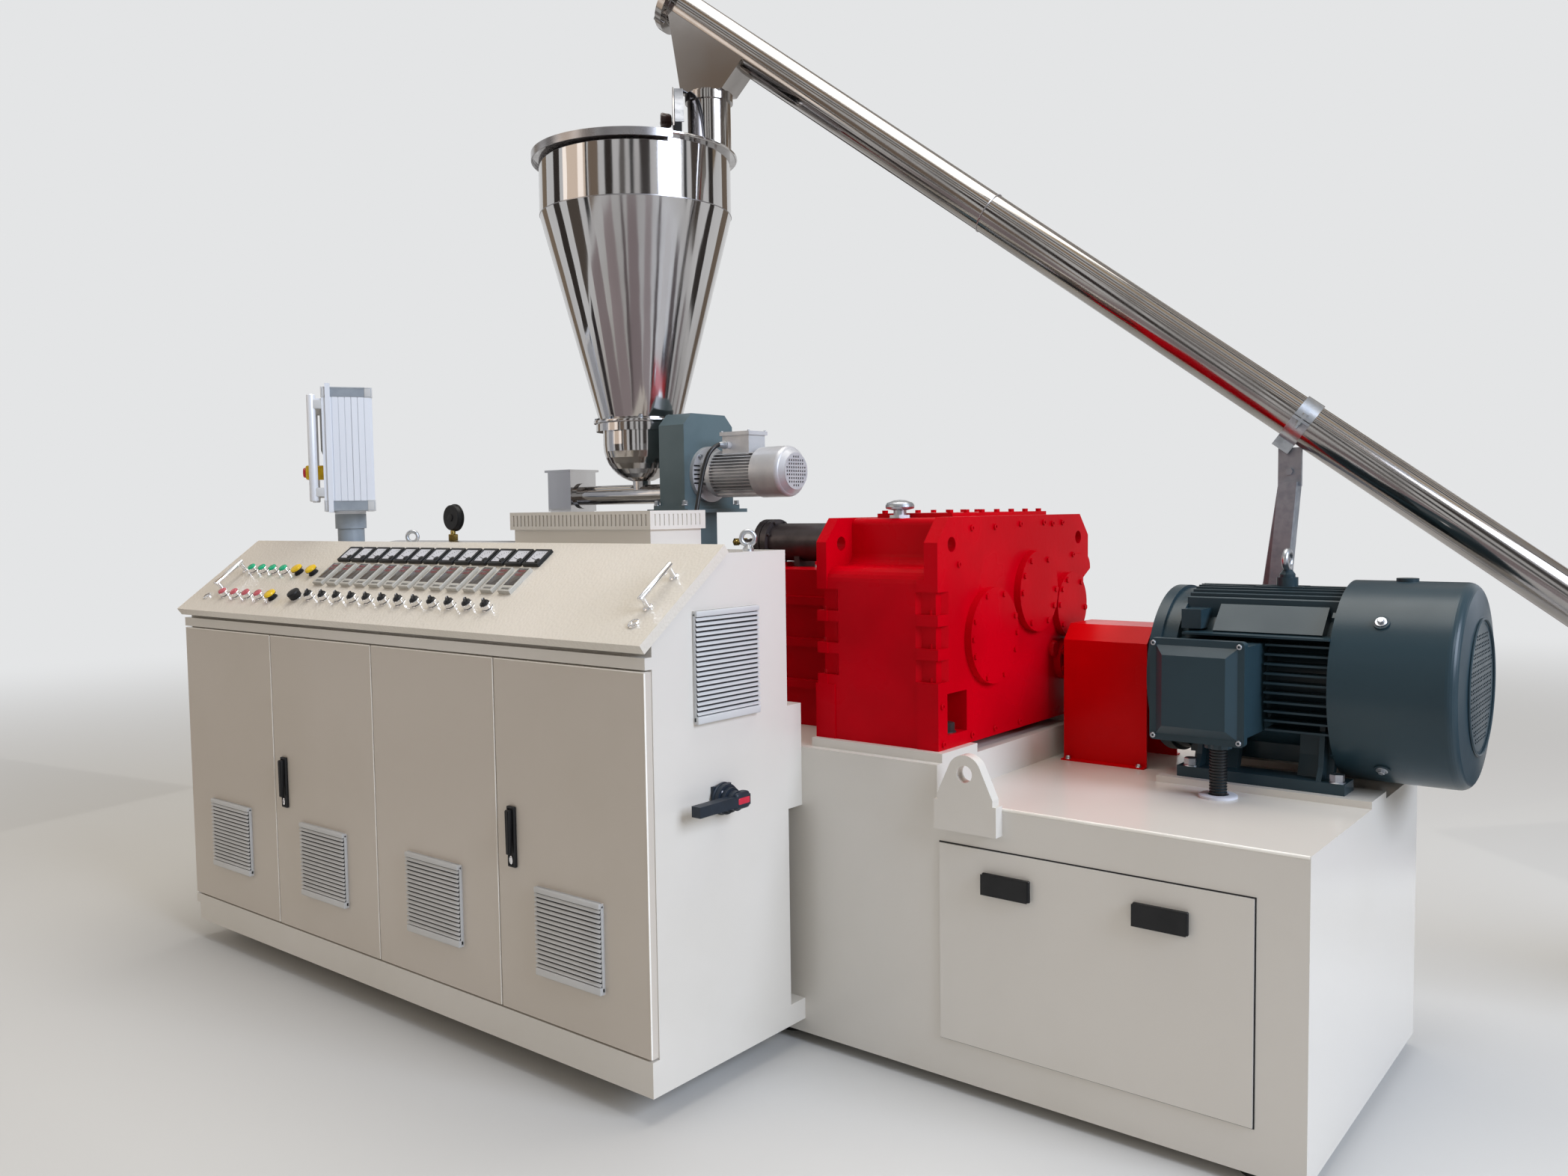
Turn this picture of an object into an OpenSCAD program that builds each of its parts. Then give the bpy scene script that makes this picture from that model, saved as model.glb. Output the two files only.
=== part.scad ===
// Conical twin-screw plastic extruder with its cabinet, feeder and screw loader.
// Millimetres, +X along the machine towards the drive motor, +Y away from the
// cabinet doors, +Z up. The sub-parts are drawn from the right end of the
// cabinet doors at floor level and moved to the middle of the footprint.

/* [Cabinet] */
// Width over the four doors
cab_w = 2168; // [1900:1:2600]
// Depth of the cabinet, doors included
cab_d = 513; // [480:1:620]
// Underside of the plinth
plinth_z = 68; // [40:1:120]
// Height of the plinth
plinth_h = 56; // [40:1:90]
// Sheet thickness of the housing
sheet = 3; // [2:0.5:4]
// Depth of a folded door
door_t = 22; // [18:1:28]
// Height of the strip below the doors
door_lift = 35; // [20:1:50]
// Height of a door
door_h = 900; // [800:1:1000]
// Gap round a door
door_gap = 5; // [5:0.5:8]
// Width of a door louvre
louvre_w = 235; // [180:1:280]
// Height of a door louvre
louvre_h = 222; // [160:1:260]
// Height of the louvre in the side wall
side_louvre_h = 269; // [200:1:300]
// Distance of the vent hood from the right end
hood_x = 271; // [150:1:500]
// Width of the vent hood
hood_w = 560; // [400:1:700]
// Height of the isolator above the plinth
isolator_h = 602; // [450:1:700]

/* [Console] */
// Height from the doors to the flat top
console_h = 261; // [240:1:300]
// Drop from the flat top to the front edge of the lid
lid_drop = 198; // [170:1:205]
// Slope of the console lid
lid_slope = 36.8; // [34:0.1:42]
// Depth of the folded lid rim
lid_rim = 25; // [18:1:32]
// Overhang of the lid at each end
lid_over = 7; // [4:1:12]
// Pitch of the controllers and meters
meter_pitch = 74.6; // [70:0.1:80]
// Number of meters and of controllers
meter_n = 13; // [6:1:14]
// Distance of the first meter from the left end
meter_x0 = 663; // [640:1:700]
// Distance of a lid handle from the end of the cabinet
pull_x = 149; // [100:1:160]

/* [Base] */
// Height of the upper deck
deck_hi = 800; // [760:1:840]
// Height of the lower deck
deck_lo = 718; // [660:1:740]
// Gap between the cabinet and the base
arm_l = 60; // [50:1:100]
// Depth of the base
base_d = 947; // [900:1:1000]
// Right end of the base
base_x1 = 1280; // [1240:1:1400]
// Left end of the base
base_x0 = -2420; // [-2500:1:-2300]
// Step between the decks
step_x = 414; // [400:1:440]
// Height of the levelling feet
foot_h = 30; // [20:1:50]
// Width of the access panel
panel_w = 749; // [650:1:780]
// Height of the access panel
panel_h = 483; // [400:1:500]
// Radius of the hole in a lifting lug
lug_r = 21; // [16:0.5:26]

/* [Drive] */
// Length of the gearbox housing
gear_l = 376; // [340:1:390]
// Width of the gearbox housing
gear_w = 863; // [840:1:890]
// Height of the gearbox housing
gear_h = 576; // [550:1:620]
// Width of a lifting ear of the gearbox
ear_w = 56; // [48:1:62]
// Radius of the hole in a lifting ear
ear_r = 19; // [14:0.5:22]
// Motor axis behind the barrel axis
motor_off = 253; // [248:1:258]
// Shaft height of the motor above its rails
motor_h = 250; // [238:1:262]
// Length of the motor frame between its end shields
frame_l = 403; // [380:1:420]
// Reach of the motor fins from the shaft
fin_r = 227; // [218:1:234]
// Distance between the foot bolts along the motor
foot_b = 349; // [330:1:356]
// Distance between the foot bolts across the motor
foot_a = 406; // [390:1:420]
// Radius of the motor fan cowl
cowl_r = 245; // [240:1:247]
// Length of the motor fan cowl
cowl_l = 282; // [240:1:320]

/* [Barrel] */
// Height of the screws above the floor
screw_z = 1085; // [1065:1:1105]
// Barrel axis behind the front of the base
axis_in = 469; // [455:1:485]
// Left end of the die adapter
die_x = -2620; // [-2680:1:-2600]
// Bolt circle of the die adapter
die_pcd = 240; // [210:1:250]
// Number of bolts in the die adapter
die_n = 8; // [6:1:12]
// Radius of the barrel cover
cover_r = 236; // [220:1:250]
// Length of the barrel cover
cover_l = 930; // [700:1:960]

/* [Feeder] */
// Position of the material hopper along the machine
hop_x = -1045; // [-1060:1:-1030]
// Radius of the hopper cylinder
hop_r = 320; // [305:1:335]
// Height of the hopper rim
hop_z = 2610; // [2550:1:2700]
// Height of the hopper cylinder
hop_cyl = 199; // [150:1:250]
// Distance from the hopper axis to the lid joint
chord = 126; // [118:1:132]
// Bearing of the opening half of the lid
flap_az = 43.8; // [42:0.1:46]

/* [Loader] */
// Radius of the loader tube
tube_r = 62; // [56:1:66]
// Plan bearing of the loader tube
tube_az = 16.63; // [15:0.01:20]
// Fall of the loader tube
tube_el = 36.83; // [35:0.01:39]
// Height of the pick-up throat
throat_z = 330; // [310:1:400]
// Radius of the pick-up hopper
bin_r = 265; // [230:1:290]
// Distance of the clamp down the tube
clamp_s = 2300; // [2200:1:2400]

/* [Hidden] */
eps = 0.01;
// Clearance between a seated piece and its seat
seat = 0.3;
// Wall of the hopper sheet
wall = 3;
// Handle stand-off, which sets the front of the footprint
pull_out = 32;
body_y = door_t + seat;
body_z = plinth_z + plinth_h;
door_w = cab_w / 4;
door_z = body_z + door_lift;
door_top = door_z + door_h;
cab_top = door_top + console_h;
isolator_z = body_z + isolator_h;
lid_y = -22;
lid_z = cab_top - lid_drop;
lid_l = (lid_drop + 21.2) / sin(lid_slope);
// Upper end of the sloping front, which the lid rim rests on
slope_y = lid_y + (lid_rim + seat) * sin(lid_slope)
  + (lid_drop + (lid_rim + seat) * cos(lid_slope)) / tan(lid_slope);
hinge_y = slope_y + 5;
hinge_z = cab_top + 14;
base_y = cab_d + arm_l;
base_y1 = base_y + base_d;
pad_t = 23;
rail_t = 17;
axis_y = base_y + axis_in;
gear_x1 = step_x - 20;
gear_x0 = gear_x1 - gear_l;
gear_y0 = axis_y + 3 - gear_w / 2;
gear_y1 = axis_y + 3 + gear_w / 2;
gear_z = deck_hi + pad_t;
gear_top = gear_z + gear_h;
// Roof between the end plates
roof_z = gear_top - 2;
// Gearbox foot bolts from the ends and sides of the housing
gear_bolt_x = 31;
gear_bolt_y = 90;
// Bolt ledges in the front edge of the gearbox
ledge_n = 3;
ledge_h = 56;
ledge_pitch = 84;
motor_y = axis_y + motor_off;
motor_z = deck_lo + rail_t + motor_h;
core_r = 186;
mot_x0 = step_x + 361;
mot_x1 = mot_x0 + frame_l;
foot_x = mot_x0 + 70;
dist_x0 = gear_x0 - 438;
dist_top = screw_z + 165;
feed_z = screw_z + 398;
feed_x = hop_x - 355;
collar_z = feed_z + 237;
// Point on the loader tube axis above the hopper
tube_p = [hop_x + 207, axis_y + 146, hop_z + 423];
// Distance down the tube to the pick-up throat
throat_s = (tube_p[2] - throat_z) / sin(tube_el);
bin_p = [tube_p[0] + throat_s * cos(tube_el) * cos(tube_az),
  tube_p[1] + throat_s * cos(tube_el) * sin(tube_az), throat_z];
bin_rim = 15;
screen_x = -cab_w + 306;
screen_y = cab_d - 73;
post_top = [tube_p[0] + clamp_s * cos(tube_el) * cos(tube_az) - 50 * sin(tube_el),
  tube_p[1] + clamp_s * cos(tube_el) * sin(tube_az),
  tube_p[2] - clamp_s * sin(tube_el) - tube_r - 60];
x_hi = bin_p[0] + bin_r + bin_rim;
y_hi = bin_p[1] + bin_r + bin_rim;
mid_x = (die_x + x_hi) / 2;
mid_y = (y_hi - pull_out) / 2;

cream = [0.86, 0.85, 0.80];
red = [0.72, 0.02, 0.06];
slate = [0.22, 0.28, 0.31];
green_grey = [0.30, 0.42, 0.43];
steel = [0.78, 0.79, 0.80];
dark = [0.10, 0.10, 0.11];
pale = [0.72, 0.72, 0.70];

module place() {
  translate([-mid_x, -mid_y, 0])
    children();
}

module block(x, y, z) {
  translate([x[0], y[0], z[0]])
    cube([x[1] - x[0], y[1] - y[0], z[1] - z[0]]);
}

module rod_x(x, y, z, r, fn = 48) {
  translate([x[0], y, z])
    rotate([0, 90, 0])
      cylinder(r = r, h = x[1] - x[0], $fn = fn);
}

module rod_y(x, y, z, r, fn = 48) {
  translate([x, y[1], z])
    rotate([90, 0, 0])
      cylinder(r = r, h = y[1] - y[0], $fn = fn);
}

module rod_z(x, y, z, r, fn = 48) {
  translate([x, y, z[0]])
    cylinder(r = r, h = z[1] - z[0], $fn = fn);
}

// Extrudes a profile drawn in (Y, Z) along X
module along_x(x) {
  translate([x[0], 0, 0])
    rotate([90, 0, 90])
      linear_extrude(x[1] - x[0])
        children();
}

// Extrudes a profile drawn in (X, Z) along Y
module along_y(y) {
  translate([0, y[1], 0])
    rotate([90, 0, 0])
      linear_extrude(y[1] - y[0])
        children();
}

// Points of an arc about c, from angle a to angle b
function arc(c, r, a, b, n = 6) =
  [for (i = [0:n]) c + r * [cos(a + (b - a) * i / n), sin(a + (b - a) * i / n)]];

// Local frame of the lid: X along the machine, Y up the slope, Z off the face
module on_lid() {
  translate([0, lid_y, lid_z])
    rotate([lid_slope, 0, 0])
      children();
}

// Local frame of the loader tube: +X down the tube from tube_p
module on_tube() {
  translate(tube_p)
    rotate([0, 0, tube_az])
      rotate([0, tube_el, 0])
        children();
}

// Ring for lifting, standing on a collar
module eye_bolt(ring, rod) {
  rotate_extrude($fn = 24)
    polygon([[0, 0], [rod * 2.4, 0], [rod * 2.4, rod], [rod * 1.4, rod * 2.4],
      [0, rod * 2.4]]);
  translate([0, 0, ring + rod * 2.8])
    rotate([90, 0, 0])
      rotate_extrude($fn = 32)
        translate([ring, 0])
          circle(r = rod, $fn = 16);
}

// Round plate with square perforations, standing in (Y, Z)
module grille(r, pitch, hole) {
  n = floor(r / pitch);
  difference() {
    circle(r = r, $fn = 64);
    for (i = [-n:n])
      for (j = [-n:n])
        if (norm([i, j]) * pitch + hole < r - 2)
          translate([i * pitch - hole / 2, j * pitch - hole / 2])
            square(hole);
  }
}

// Base

module base_frame() {
  color(cream)
    place()
      difference() {
        union() {
          block([base_x0, step_x], [base_y, base_y1], [foot_h, deck_hi]);
          block([step_x - eps, base_x1], [base_y, base_y1], [foot_h, deck_lo]);
          for (y = [gear_y0 - 16, gear_y1 - 155])
            block([gear_x0 - 3, step_x], [y, y + 171], [deck_hi - eps, deck_hi + pad_t]);
          for (y = [motor_y - foot_a / 2 - 40, motor_y + foot_a / 2 - 113])
            block([mot_x0 - 5, base_x1], [y, y + 135], [deck_lo - eps, deck_lo + rail_t]);
        }
        for (x = [gear_x0 + gear_bolt_x, gear_x1 - gear_bolt_x])
          for (y = [gear_y0 + gear_bolt_y, gear_y1 - gear_bolt_y])
            rod_z(x, y, [deck_hi - 40, deck_hi + pad_t + 1], 13, 32);
        for (x = [foot_x, foot_x + foot_b])
          for (y = [motor_y - foot_a / 2, motor_y + foot_a / 2])
            rod_z(x, y, [deck_lo - 30, deck_lo + rail_t + 1], 12, 32);
      }
}

module base_feet() {
  color(dark)
    place()
      for (x = [base_x0 + 110, base_x0 + 1070, -100, base_x1 - 110])
        for (y = [base_y + 90, base_y1 - 90]) {
          rod_z(x, y, [0, 12], 55);
          rod_z(x, y, [12 - eps, foot_h], 24, 32);
        }
}

// Cover plate with two recessed grips, set against the front of the base
module access_panel() {
  x0 = step_x + 9;
  z0 = foot_h + 100;
  color(cream)
    place() {
      block([x0, x0 + panel_w], [base_y - 6, base_y], [z0, z0 + panel_h]);
      for (x = [x0 + 182, x0 + panel_w - 196])
        difference() {
          block([x - 61, x + 61], [base_y - 14, base_y - 6 + eps],
            [z0 + panel_h - 103, z0 + panel_h - 53]);
          block([x - 50, x + 50], [base_y - 15, base_y - 8],
            [z0 + panel_h - 95, z0 + panel_h - 61]);
        }
    }
}

// Lifting plate with its top edge rounded about the hole
module lug(x, y) {
  hole_z = deck_hi - 6;
  translate([x, y, 0])
    difference() {
      along_y([0, 30])
        union() {
          translate([-84, hole_z - 141])
            square([168, 72]);
          hull() {
            translate([0, hole_z])
              circle(r = lug_r + 24, $fn = 48);
            translate([-75, hole_z - 74])
              square([150, 20]);
          }
        }
      rod_y(0, [-1, 31], hole_z, lug_r);
    }
}

module lifting_lugs() {
  color(cream)
    place()
      for (x = [step_x + 93, base_x0 + 220]) {
        lug(x, base_y - 30);
        lug(x, base_y1);
      }
}

// Gearbox

// End plate of the housing: a foot at each side, a waist on the far side and
// two lifting ears
module gear_plate() {
  polygon([[gear_y0, gear_z], [gear_y1, gear_z],
    [gear_y1, gear_z + 143], [gear_y1 - 47, gear_z + 163],
    [gear_y1 - 47, gear_top - 187], [gear_y1, gear_top - 162],
    [gear_y1, gear_top - ear_w - 6], [gear_y1 - ear_w, gear_top],
    [gear_y0 + ear_w, gear_top], [gear_y0, gear_top - ear_w - 6]]);
}

// Half of the shoulder between the ears: an S-curve from side wall to roof
function shoulder(y, s) = concat(
  [[y + s * 3, gear_z]],
  [for (p = arc([41, gear_top - 164], 38, 180, 90)) [y + s * p[0], p[1]]],
  [for (p = arc([86, gear_top - 96], 30, 270, 360)) [y + s * p[0], p[1]]],
  [for (p = arc([134, roof_z - 18], 18, 180, 90)) [y + s * p[0], p[1]]]);

module gear_middle() {
  polygon(concat(shoulder(gear_y0, 1),
    [for (i = [1:len(shoulder(gear_y1, -1))])
      shoulder(gear_y1, -1)[len(shoulder(gear_y1, -1)) - i]]));
}

// Ledge for a flange bolt, cut into the upright edge at (x, gear_y0)
module ledge(x, s) {
  for (i = [0:ledge_n - 1])
    translate([x, gear_y0, gear_z + 168 + i * ledge_pitch])
      linear_extrude(ledge_h)
        polygon([[s * 1, -1], [-s * 70, -1], [-s * 56, 14], [-s * 14, 14],
          [-s * 14, 38], [s * 1, 52]]);
}

module gearbox_housing() {
  color(red)
    place()
      difference() {
        union() {
          along_x([gear_x0 + 7, gear_x0 + 39])
            gear_plate();
          along_x([gear_x1 - 39, gear_x1])
            gear_plate();
          along_x([gear_x0 + 38, gear_x1 - 38])
            gear_middle();
          block([gear_x1 - 62, gear_x1 - 38], [gear_y0, gear_y0 + 80],
            [gear_z, gear_top - 153]);
          block([gear_x0 + 38, gear_x0 + 62], [gear_y0, gear_y0 + 80],
            [gear_z, gear_z + 143]);
          for (y = [gear_y0, gear_y1 - 150])
            block([gear_x0, gear_x0 + 8], [y, y + 150], [gear_z, gear_z + 143]);
        }
        for (y = [gear_y0 + 67, gear_y1 - 67]) {
          rod_x([gear_x0 - 1, gear_x0 + 40], y, gear_top - 68, ear_r);
          rod_x([gear_x1 - 40, gear_x1 + 1], y, gear_top - 68, ear_r);
        }
        ledge(gear_x1, 1);
        ledge(gear_x0 + 7, -1);
        // foot pockets and their bolt holes
        for (y = [gear_y0 + gear_bolt_y, gear_y1 - gear_bolt_y]) {
          for (x = [[gear_x0 - 1, gear_x0 + 62], [gear_x1 - 62, gear_x1 + 1]])
            block(x, [y - 47, y + 47], [gear_z + 34, gear_z + 138]);
          for (x = [gear_x0 + gear_bolt_x, gear_x1 - gear_bolt_x])
            rod_z(x, y, [gear_z - 1, gear_z + 35], 13, 32);
        }
        // set-back face of the far ear
        translate([gear_x1 - 7, 0, 0])
          along_x([0, 8])
            polygon(concat([[gear_y1 + 1, gear_top + 1], [gear_y1 - 126, gear_top + 1]],
              arc([gear_y1 - 96, gear_top - 86], 30, 180, 270),
              arc([gear_y1 - 42, gear_top - 158], 42, 90, 0)));
      }
}

// Round cover on the motor side of the gearbox, bolted at the given angles
module cover(y, z, r, bolt_r, angles) {
  rod_x([gear_x1, gear_x1 + 20], y, z, r, 64);
  for (a = angles)
    rod_x([gear_x1 + 20 - eps, gear_x1 + 25], y + bolt_r * cos(a),
      z + bolt_r * sin(a), 8, 6);
}

module gearbox_covers() {
  roof = [gear_x0 + 75, gear_x1 - 68];
  color(red)
    place() {
      cover(axis_y - 177, screw_z + 5, 125, 114,
        [0, 23, 67, 113, 157, 180, 203, 247, 293, 337]);
      cover(axis_y + 70, screw_z + 106, 111, 97,
        [0, 60, 120, 152, 180, 240, 300, 332]);
      cover(axis_y + 275, screw_z + 55, 93, 81,
        [50, 116, 144, 177, 220, 270, 310, 351]);
      cover(motor_y, motor_z, 58, 48, [30:60:330]);
      block(roof, [gear_y0 + 185, gear_y1 - 150], [roof_z, roof_z + 12]);
      for (x = [roof[0] + 15, roof[1] - 15])
        for (i = [0:6])
          rod_z(x, gear_y0 + 200 + i * (gear_w - 370) / 6,
            [roof_z + 12 - eps, roof_z + 20], 9, 6);
    }
}

module breather() {
  color(steel)
    place()
      translate([gear_x0 + 167, gear_y0 + 155, roof_z]) {
        cylinder(r = 30, h = 8, $fn = 6);
        translate([0, 0, 8 - eps])
          rotate_extrude($fn = 40)
            polygon(concat([[0, 0], [17, 0], [17, 12], [35, 16]],
              arc([26, 22], 12, -30, 60, 4), [[16, 38], [0, 40]]));
      }
}

module distribution_box() {
  color(red)
    place() {
      block([dist_x0, gear_x0 + 7], [axis_y - 200, axis_y + 206], [deck_hi, dist_top]);
      for (x = [dist_x0 - 10, gear_x0 - 46])
        difference() {
          block([x, x + 40], [axis_y - 222, axis_y + 228], [deck_hi, dist_top + 12]);
          block([x - 1, x + 41], [axis_y - 200, axis_y + 206], [deck_hi - 1, dist_top]);
        }
      for (z = [deck_hi + 110, deck_hi + 230, deck_hi + 350])
        block([dist_x0 + 29, gear_x0 - 45], [axis_y - 216, axis_y - 199], [z, z + 24]);
    }
}

// Oil cooler lying on the distribution box, with a bolted flange pair
module oil_cooler() {
  z = dist_top + 73;
  x = dist_x0 - 85;
  color([0.24, 0.22, 0.20])
    place() {
      rod_x([x, x + 470], axis_y, z, 58);
      rod_x([x + 12, x + 34], axis_y, z, 71);
      rod_x([x + 38, x + 60], axis_y, z, 71);
      for (i = [0:7])
        rod_x([x + 4, x + 68], axis_y + 64 * cos(i * 45 + 22.5), z + 64 * sin(i * 45 + 22.5), 4, 16);
      for (y = [axis_y - 20, axis_y + 20])
        rod_x([x - 62, x + eps], y, z, 9, 24);
      for (d = [150, 400])
        block([x + d, x + d + 20], [axis_y - 40, axis_y + 40], [dist_top, z - 30]);
    }
}

// Folded guard over the coupling, open at both ends
module coupling_guard() {
  half = 110;
  color(red)
    place() {
      along_x([gear_x1 + 57, gear_x1 + 296])
        difference() {
          polygon([[motor_y - half, deck_lo], [motor_y + half, deck_lo],
            [motor_y + half, motor_z + half - 42], [motor_y + half - 42, motor_z + half],
            [motor_y - half + 42, motor_z + half], [motor_y - half, motor_z + half - 42]]);
          polygon([[motor_y - half + 4, deck_lo - 1], [motor_y + half - 4, deck_lo - 1],
            [motor_y + half - 4, motor_z + half - 44], [motor_y + half - 44, motor_z + half - 4],
            [motor_y - half + 44, motor_z + half - 4], [motor_y - half + 4, motor_z + half - 44]]);
        }
      for (y = [motor_y - half - 20, motor_y + half - 4])
        difference() {
          block([gear_x1 + 57, gear_x1 + 296], [y, y + 24], [deck_lo, deck_lo + 4]);
          for (x = [gear_x1 + 75, gear_x1 + 278])
            rod_z(x, y < motor_y ? y + 9 : y + 15, [deck_lo - 1, deck_lo + 5], 4.5, 24);
        }
    }
}

module shaft_coupling() {
  color(steel)
    place() {
      rod_x([gear_x1 + 26, mot_x0 - 40 - seat], motor_y, motor_z, 32);
      for (x = [gear_x1 + 106, gear_x1 + 172])
        rod_x([x, x + 60], motor_y, motor_z, 85);
      for (i = [0:5])
        rod_x([gear_x1 + 98, gear_x1 + 240], motor_y + 62 * cos(i * 60), motor_z + 62 * sin(i * 60), 9, 16);
    }
}

// Motor

// Ribbed cross-section of the frame: upright fins above, level fins behind
module fin_section() {
  circle(r = core_r, $fn = 72);
  intersection() {
    circle(r = fin_r, $fn = 72);
    union() {
      for (y = [-110:20:110])
        translate([y - 2.5, 0])
          square([5, fin_r]);
      for (z = [-111:23:119])
        translate([0, z - 2.5])
          square([fin_r, 5]);
      for (y = [-80:20:80])
        translate([y - 2.5, -fin_r + 18])
          square([5, fin_r - 18]);
    }
  }
}

// One foot rail with its two legs; s is the side of the axis that it is on
module motor_foot(s) {
  top = deck_lo + rail_t + 27;
  out = motor_y + s * (foot_a / 2 + 17);
  in = motor_y + s * (foot_a / 2 - 63);
  difference() {
    block([foot_x - 30, foot_x + foot_b + 21], [min(in, out), max(in, out)],
      [deck_lo + rail_t, top]);
    for (x = [foot_x, foot_x + foot_b])
      rod_z(x, motor_y + s * foot_a / 2, [deck_lo, top + 1], 12, 32);
  }
  for (x = [[foot_x - 5, foot_x + 18, foot_x + 105], [mot_x1 - 84, mot_x1 - 24, mot_x1 - 2]]) {
    along_x([x[0], x[2]])
      polygon([[motor_y + s * 145, top - eps], [motor_y + s * 170, top - eps],
        [motor_y + s * 150, top + 50], [motor_y + s * 145, motor_z - 100],
        [motor_y + s * 110, motor_z - 120], [motor_y + s * 128, top + 50]]);
    along_x([x[1] - 6, x[1] + 6])
      polygon([[motor_y + s * 145, top - eps], [motor_y + s * 212, top - eps],
        [motor_y + s * 192, top + 30], [motor_y + s * 178, motor_z - 90],
        [motor_y + s * 110, motor_z - 110]]);
  }
}

module plate_pad(g) {
  rotate([45, 0, 0])
    block([mot_x0 + 115 - g, mot_x0 + 376 + g], [-44 - g, 44 + g], [core_r - 20, 216 + g]);
}
module motor_frame() {
  box_x1 = mot_x0 + 254;
  color(slate)
    place() {
      translate([0, motor_y, motor_z]) {
        along_x([mot_x0 + 25, mot_x1])
          fin_section();
        rod_x([mot_x0 - 40, mot_x0 + 26], 0, 0, 214, 64);
        rod_x([mot_x0 - 40, mot_x0 - 12], 0, 0, 222, 64);
        rod_x([mot_x1 - 10, mot_x1 + 22], 0, 0, 205, 64);
        // level fins on the near side, shorter behind the terminal box
        block([mot_x0 + 53, mot_x1], [-fin_r, -core_r + 40], [112.5, 117.5]);
        for (z = [-111:23:104])
          block([box_x1, mot_x1], [-sqrt(fin_r * fin_r - z * z * 0.5), -100], [z - 2.5, z + 2.5]);
        // plate pad and small box between the fins
        plate_pad(0);
        block([mot_x0 + 37, mot_x0 + 87], [-187, -110], [124, 172]);
        // carriers of the cowl
        for (a = [45:90:315])
          rotate([a, 0, 0])
            block([mot_x1 - 8, mot_x1 + 20], [-8, 8], [190, cowl_r - 5 - seat]);
        translate([mot_x0 + 241, 0, 186]) {
          block([-72, 46], [-36, 36], [0, 40]);
          rod_z(0, 0, [39, 62], 26, 32);
          translate([0, 0, 62 - eps])
            rotate([0, 0, 90])
              eye_bolt(22, 8);
        }
      }
      for (s = [-1, 1])
        motor_foot(s);
    }
}

module terminal_box() {
  x0 = mot_x0 + 28;
  y0 = motor_y - 370;
  z0 = motor_z - 133;
  gland = [x0 + 151, y0 + 52];
  hose_r = 17;
  color(slate)
    place() {
      difference() {
        block([x0 + 9, x0 + 219], [y0 + 23, motor_y - 80], [z0 + 16, z0 + 232]);
        rod_x([x0, x0 + 260], motor_y, motor_z, core_r + seat, 72);
        translate([0, motor_y, motor_z])
          plate_pad(seat);
        block([x0, x0 + 260], [motor_y - 192, motor_y], [z0, motor_z - 90 + seat]);
      }
      along_y([y0, y0 + 23 + eps])
        offset(r = 10, $fn = 24)
          translate([x0 + 10, z0 + 10])
            square([208, 228]);
      hull() {
        block([x0 + 16, x0 + 212], [y0 - eps, y0], [z0 + 16, z0 + 232]);
        block([x0 + 38, x0 + 190], [y0 - 20, y0 - 19], [z0 + 38, z0 + 210]);
      }
      for (x = [x0 + 11, x0 + 217])
        for (z = [z0 + 11, z0 + 237])
          rod_y(x, [y0 - 5, y0 + eps], z, 6, 24);
      translate([gland[0], gland[1], z0 - 14])
        cylinder(r = 32, h = 31, $fn = 6);
      rod_z(gland[0], gland[1], [deck_lo + 4, z0 - 13], hose_r, 32);
      for (i = [0:14])
        translate([gland[0], gland[1], deck_lo + 12 + i * (z0 - deck_lo - 34) / 14])
          rotate_extrude($fn = 32)
            translate([hose_r, 0])
              circle(r = 3, $fn = 16);
      rod_z(gland[0], gland[1], [deck_lo, deck_lo + 5], 44, 40);
    }
}

// Fan cowl: a rolled shell with a dished, perforated end
module motor_cowl() {
  r = cowl_r;
  l = cowl_l;
  color(slate)
    place()
      translate([mot_x1, motor_y, motor_z]) {
        rotate([0, 90, 0])
          rotate_extrude($fn = 72)
            polygon(concat([[r - 5, 0], [r, 0]], arc([r - 26, l - 36], 26, 0, 70),
              [[150, l - 2], [150, l - 7]], arc([r - 26, l - 36], 21, 70, 0)));
        translate([l - 7, 0, 0])
          along_x([0, 4])
            grille(151, 20, 12);
        rod_z(118, 0, [r - 2, r + 7], 25, 32);
        for (a = [50:90:320])
          rotate([a, 0, 0])
            rod_z(104, 0, [r - 3, r + 4], 18, 32);
      }
}

// Barrel

module barrel() {
  x0 = die_x;
  block_x0 = hop_x - 135;
  color([0.35, 0.34, 0.33])
    place() {
      difference() {
        union() {
          block([block_x0, dist_x0 - 10], [axis_y - 190, axis_y + 190], [deck_hi, dist_top]);
          rod_x([block_x0 - 45, block_x0], axis_y, screw_z, 160, 64);
          rod_x([x0 + 119, block_x0 - 44], axis_y, screw_z, 95, 64);
          for (i = [0:4])
            rod_x([x0 + 180 + i * 190, x0 + 330 + i * 190], axis_y, screw_z, 130, 64);
          rod_x([x0 + 60, x0 + 120], axis_y, screw_z, 190, 64);
          rod_x([x0, x0 + 61], axis_y, screw_z, die_pcd / 2 + 32, 64);
          block([x0 + 340, x0 + 360], [axis_y - 120, axis_y + 120], [deck_hi, screw_z - 60]);
        }
        rod_x([x0 - 1, x0 + 110], axis_y, screw_z, 42);
        for (i = [0:die_n - 1])
          rod_x([x0 - 1, x0 + 45], axis_y + die_pcd / 2 * cos((i + 0.5) * 360 / die_n),
            screw_z + die_pcd / 2 * sin((i + 0.5) * 360 / die_n), 9, 32);
      }
      for (i = [0:7])
        rod_x([x0 + 48, x0 + 61], axis_y + 172 * cos(i * 45), screw_z + 172 * sin(i * 45), 12, 6);
    }
}

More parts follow.
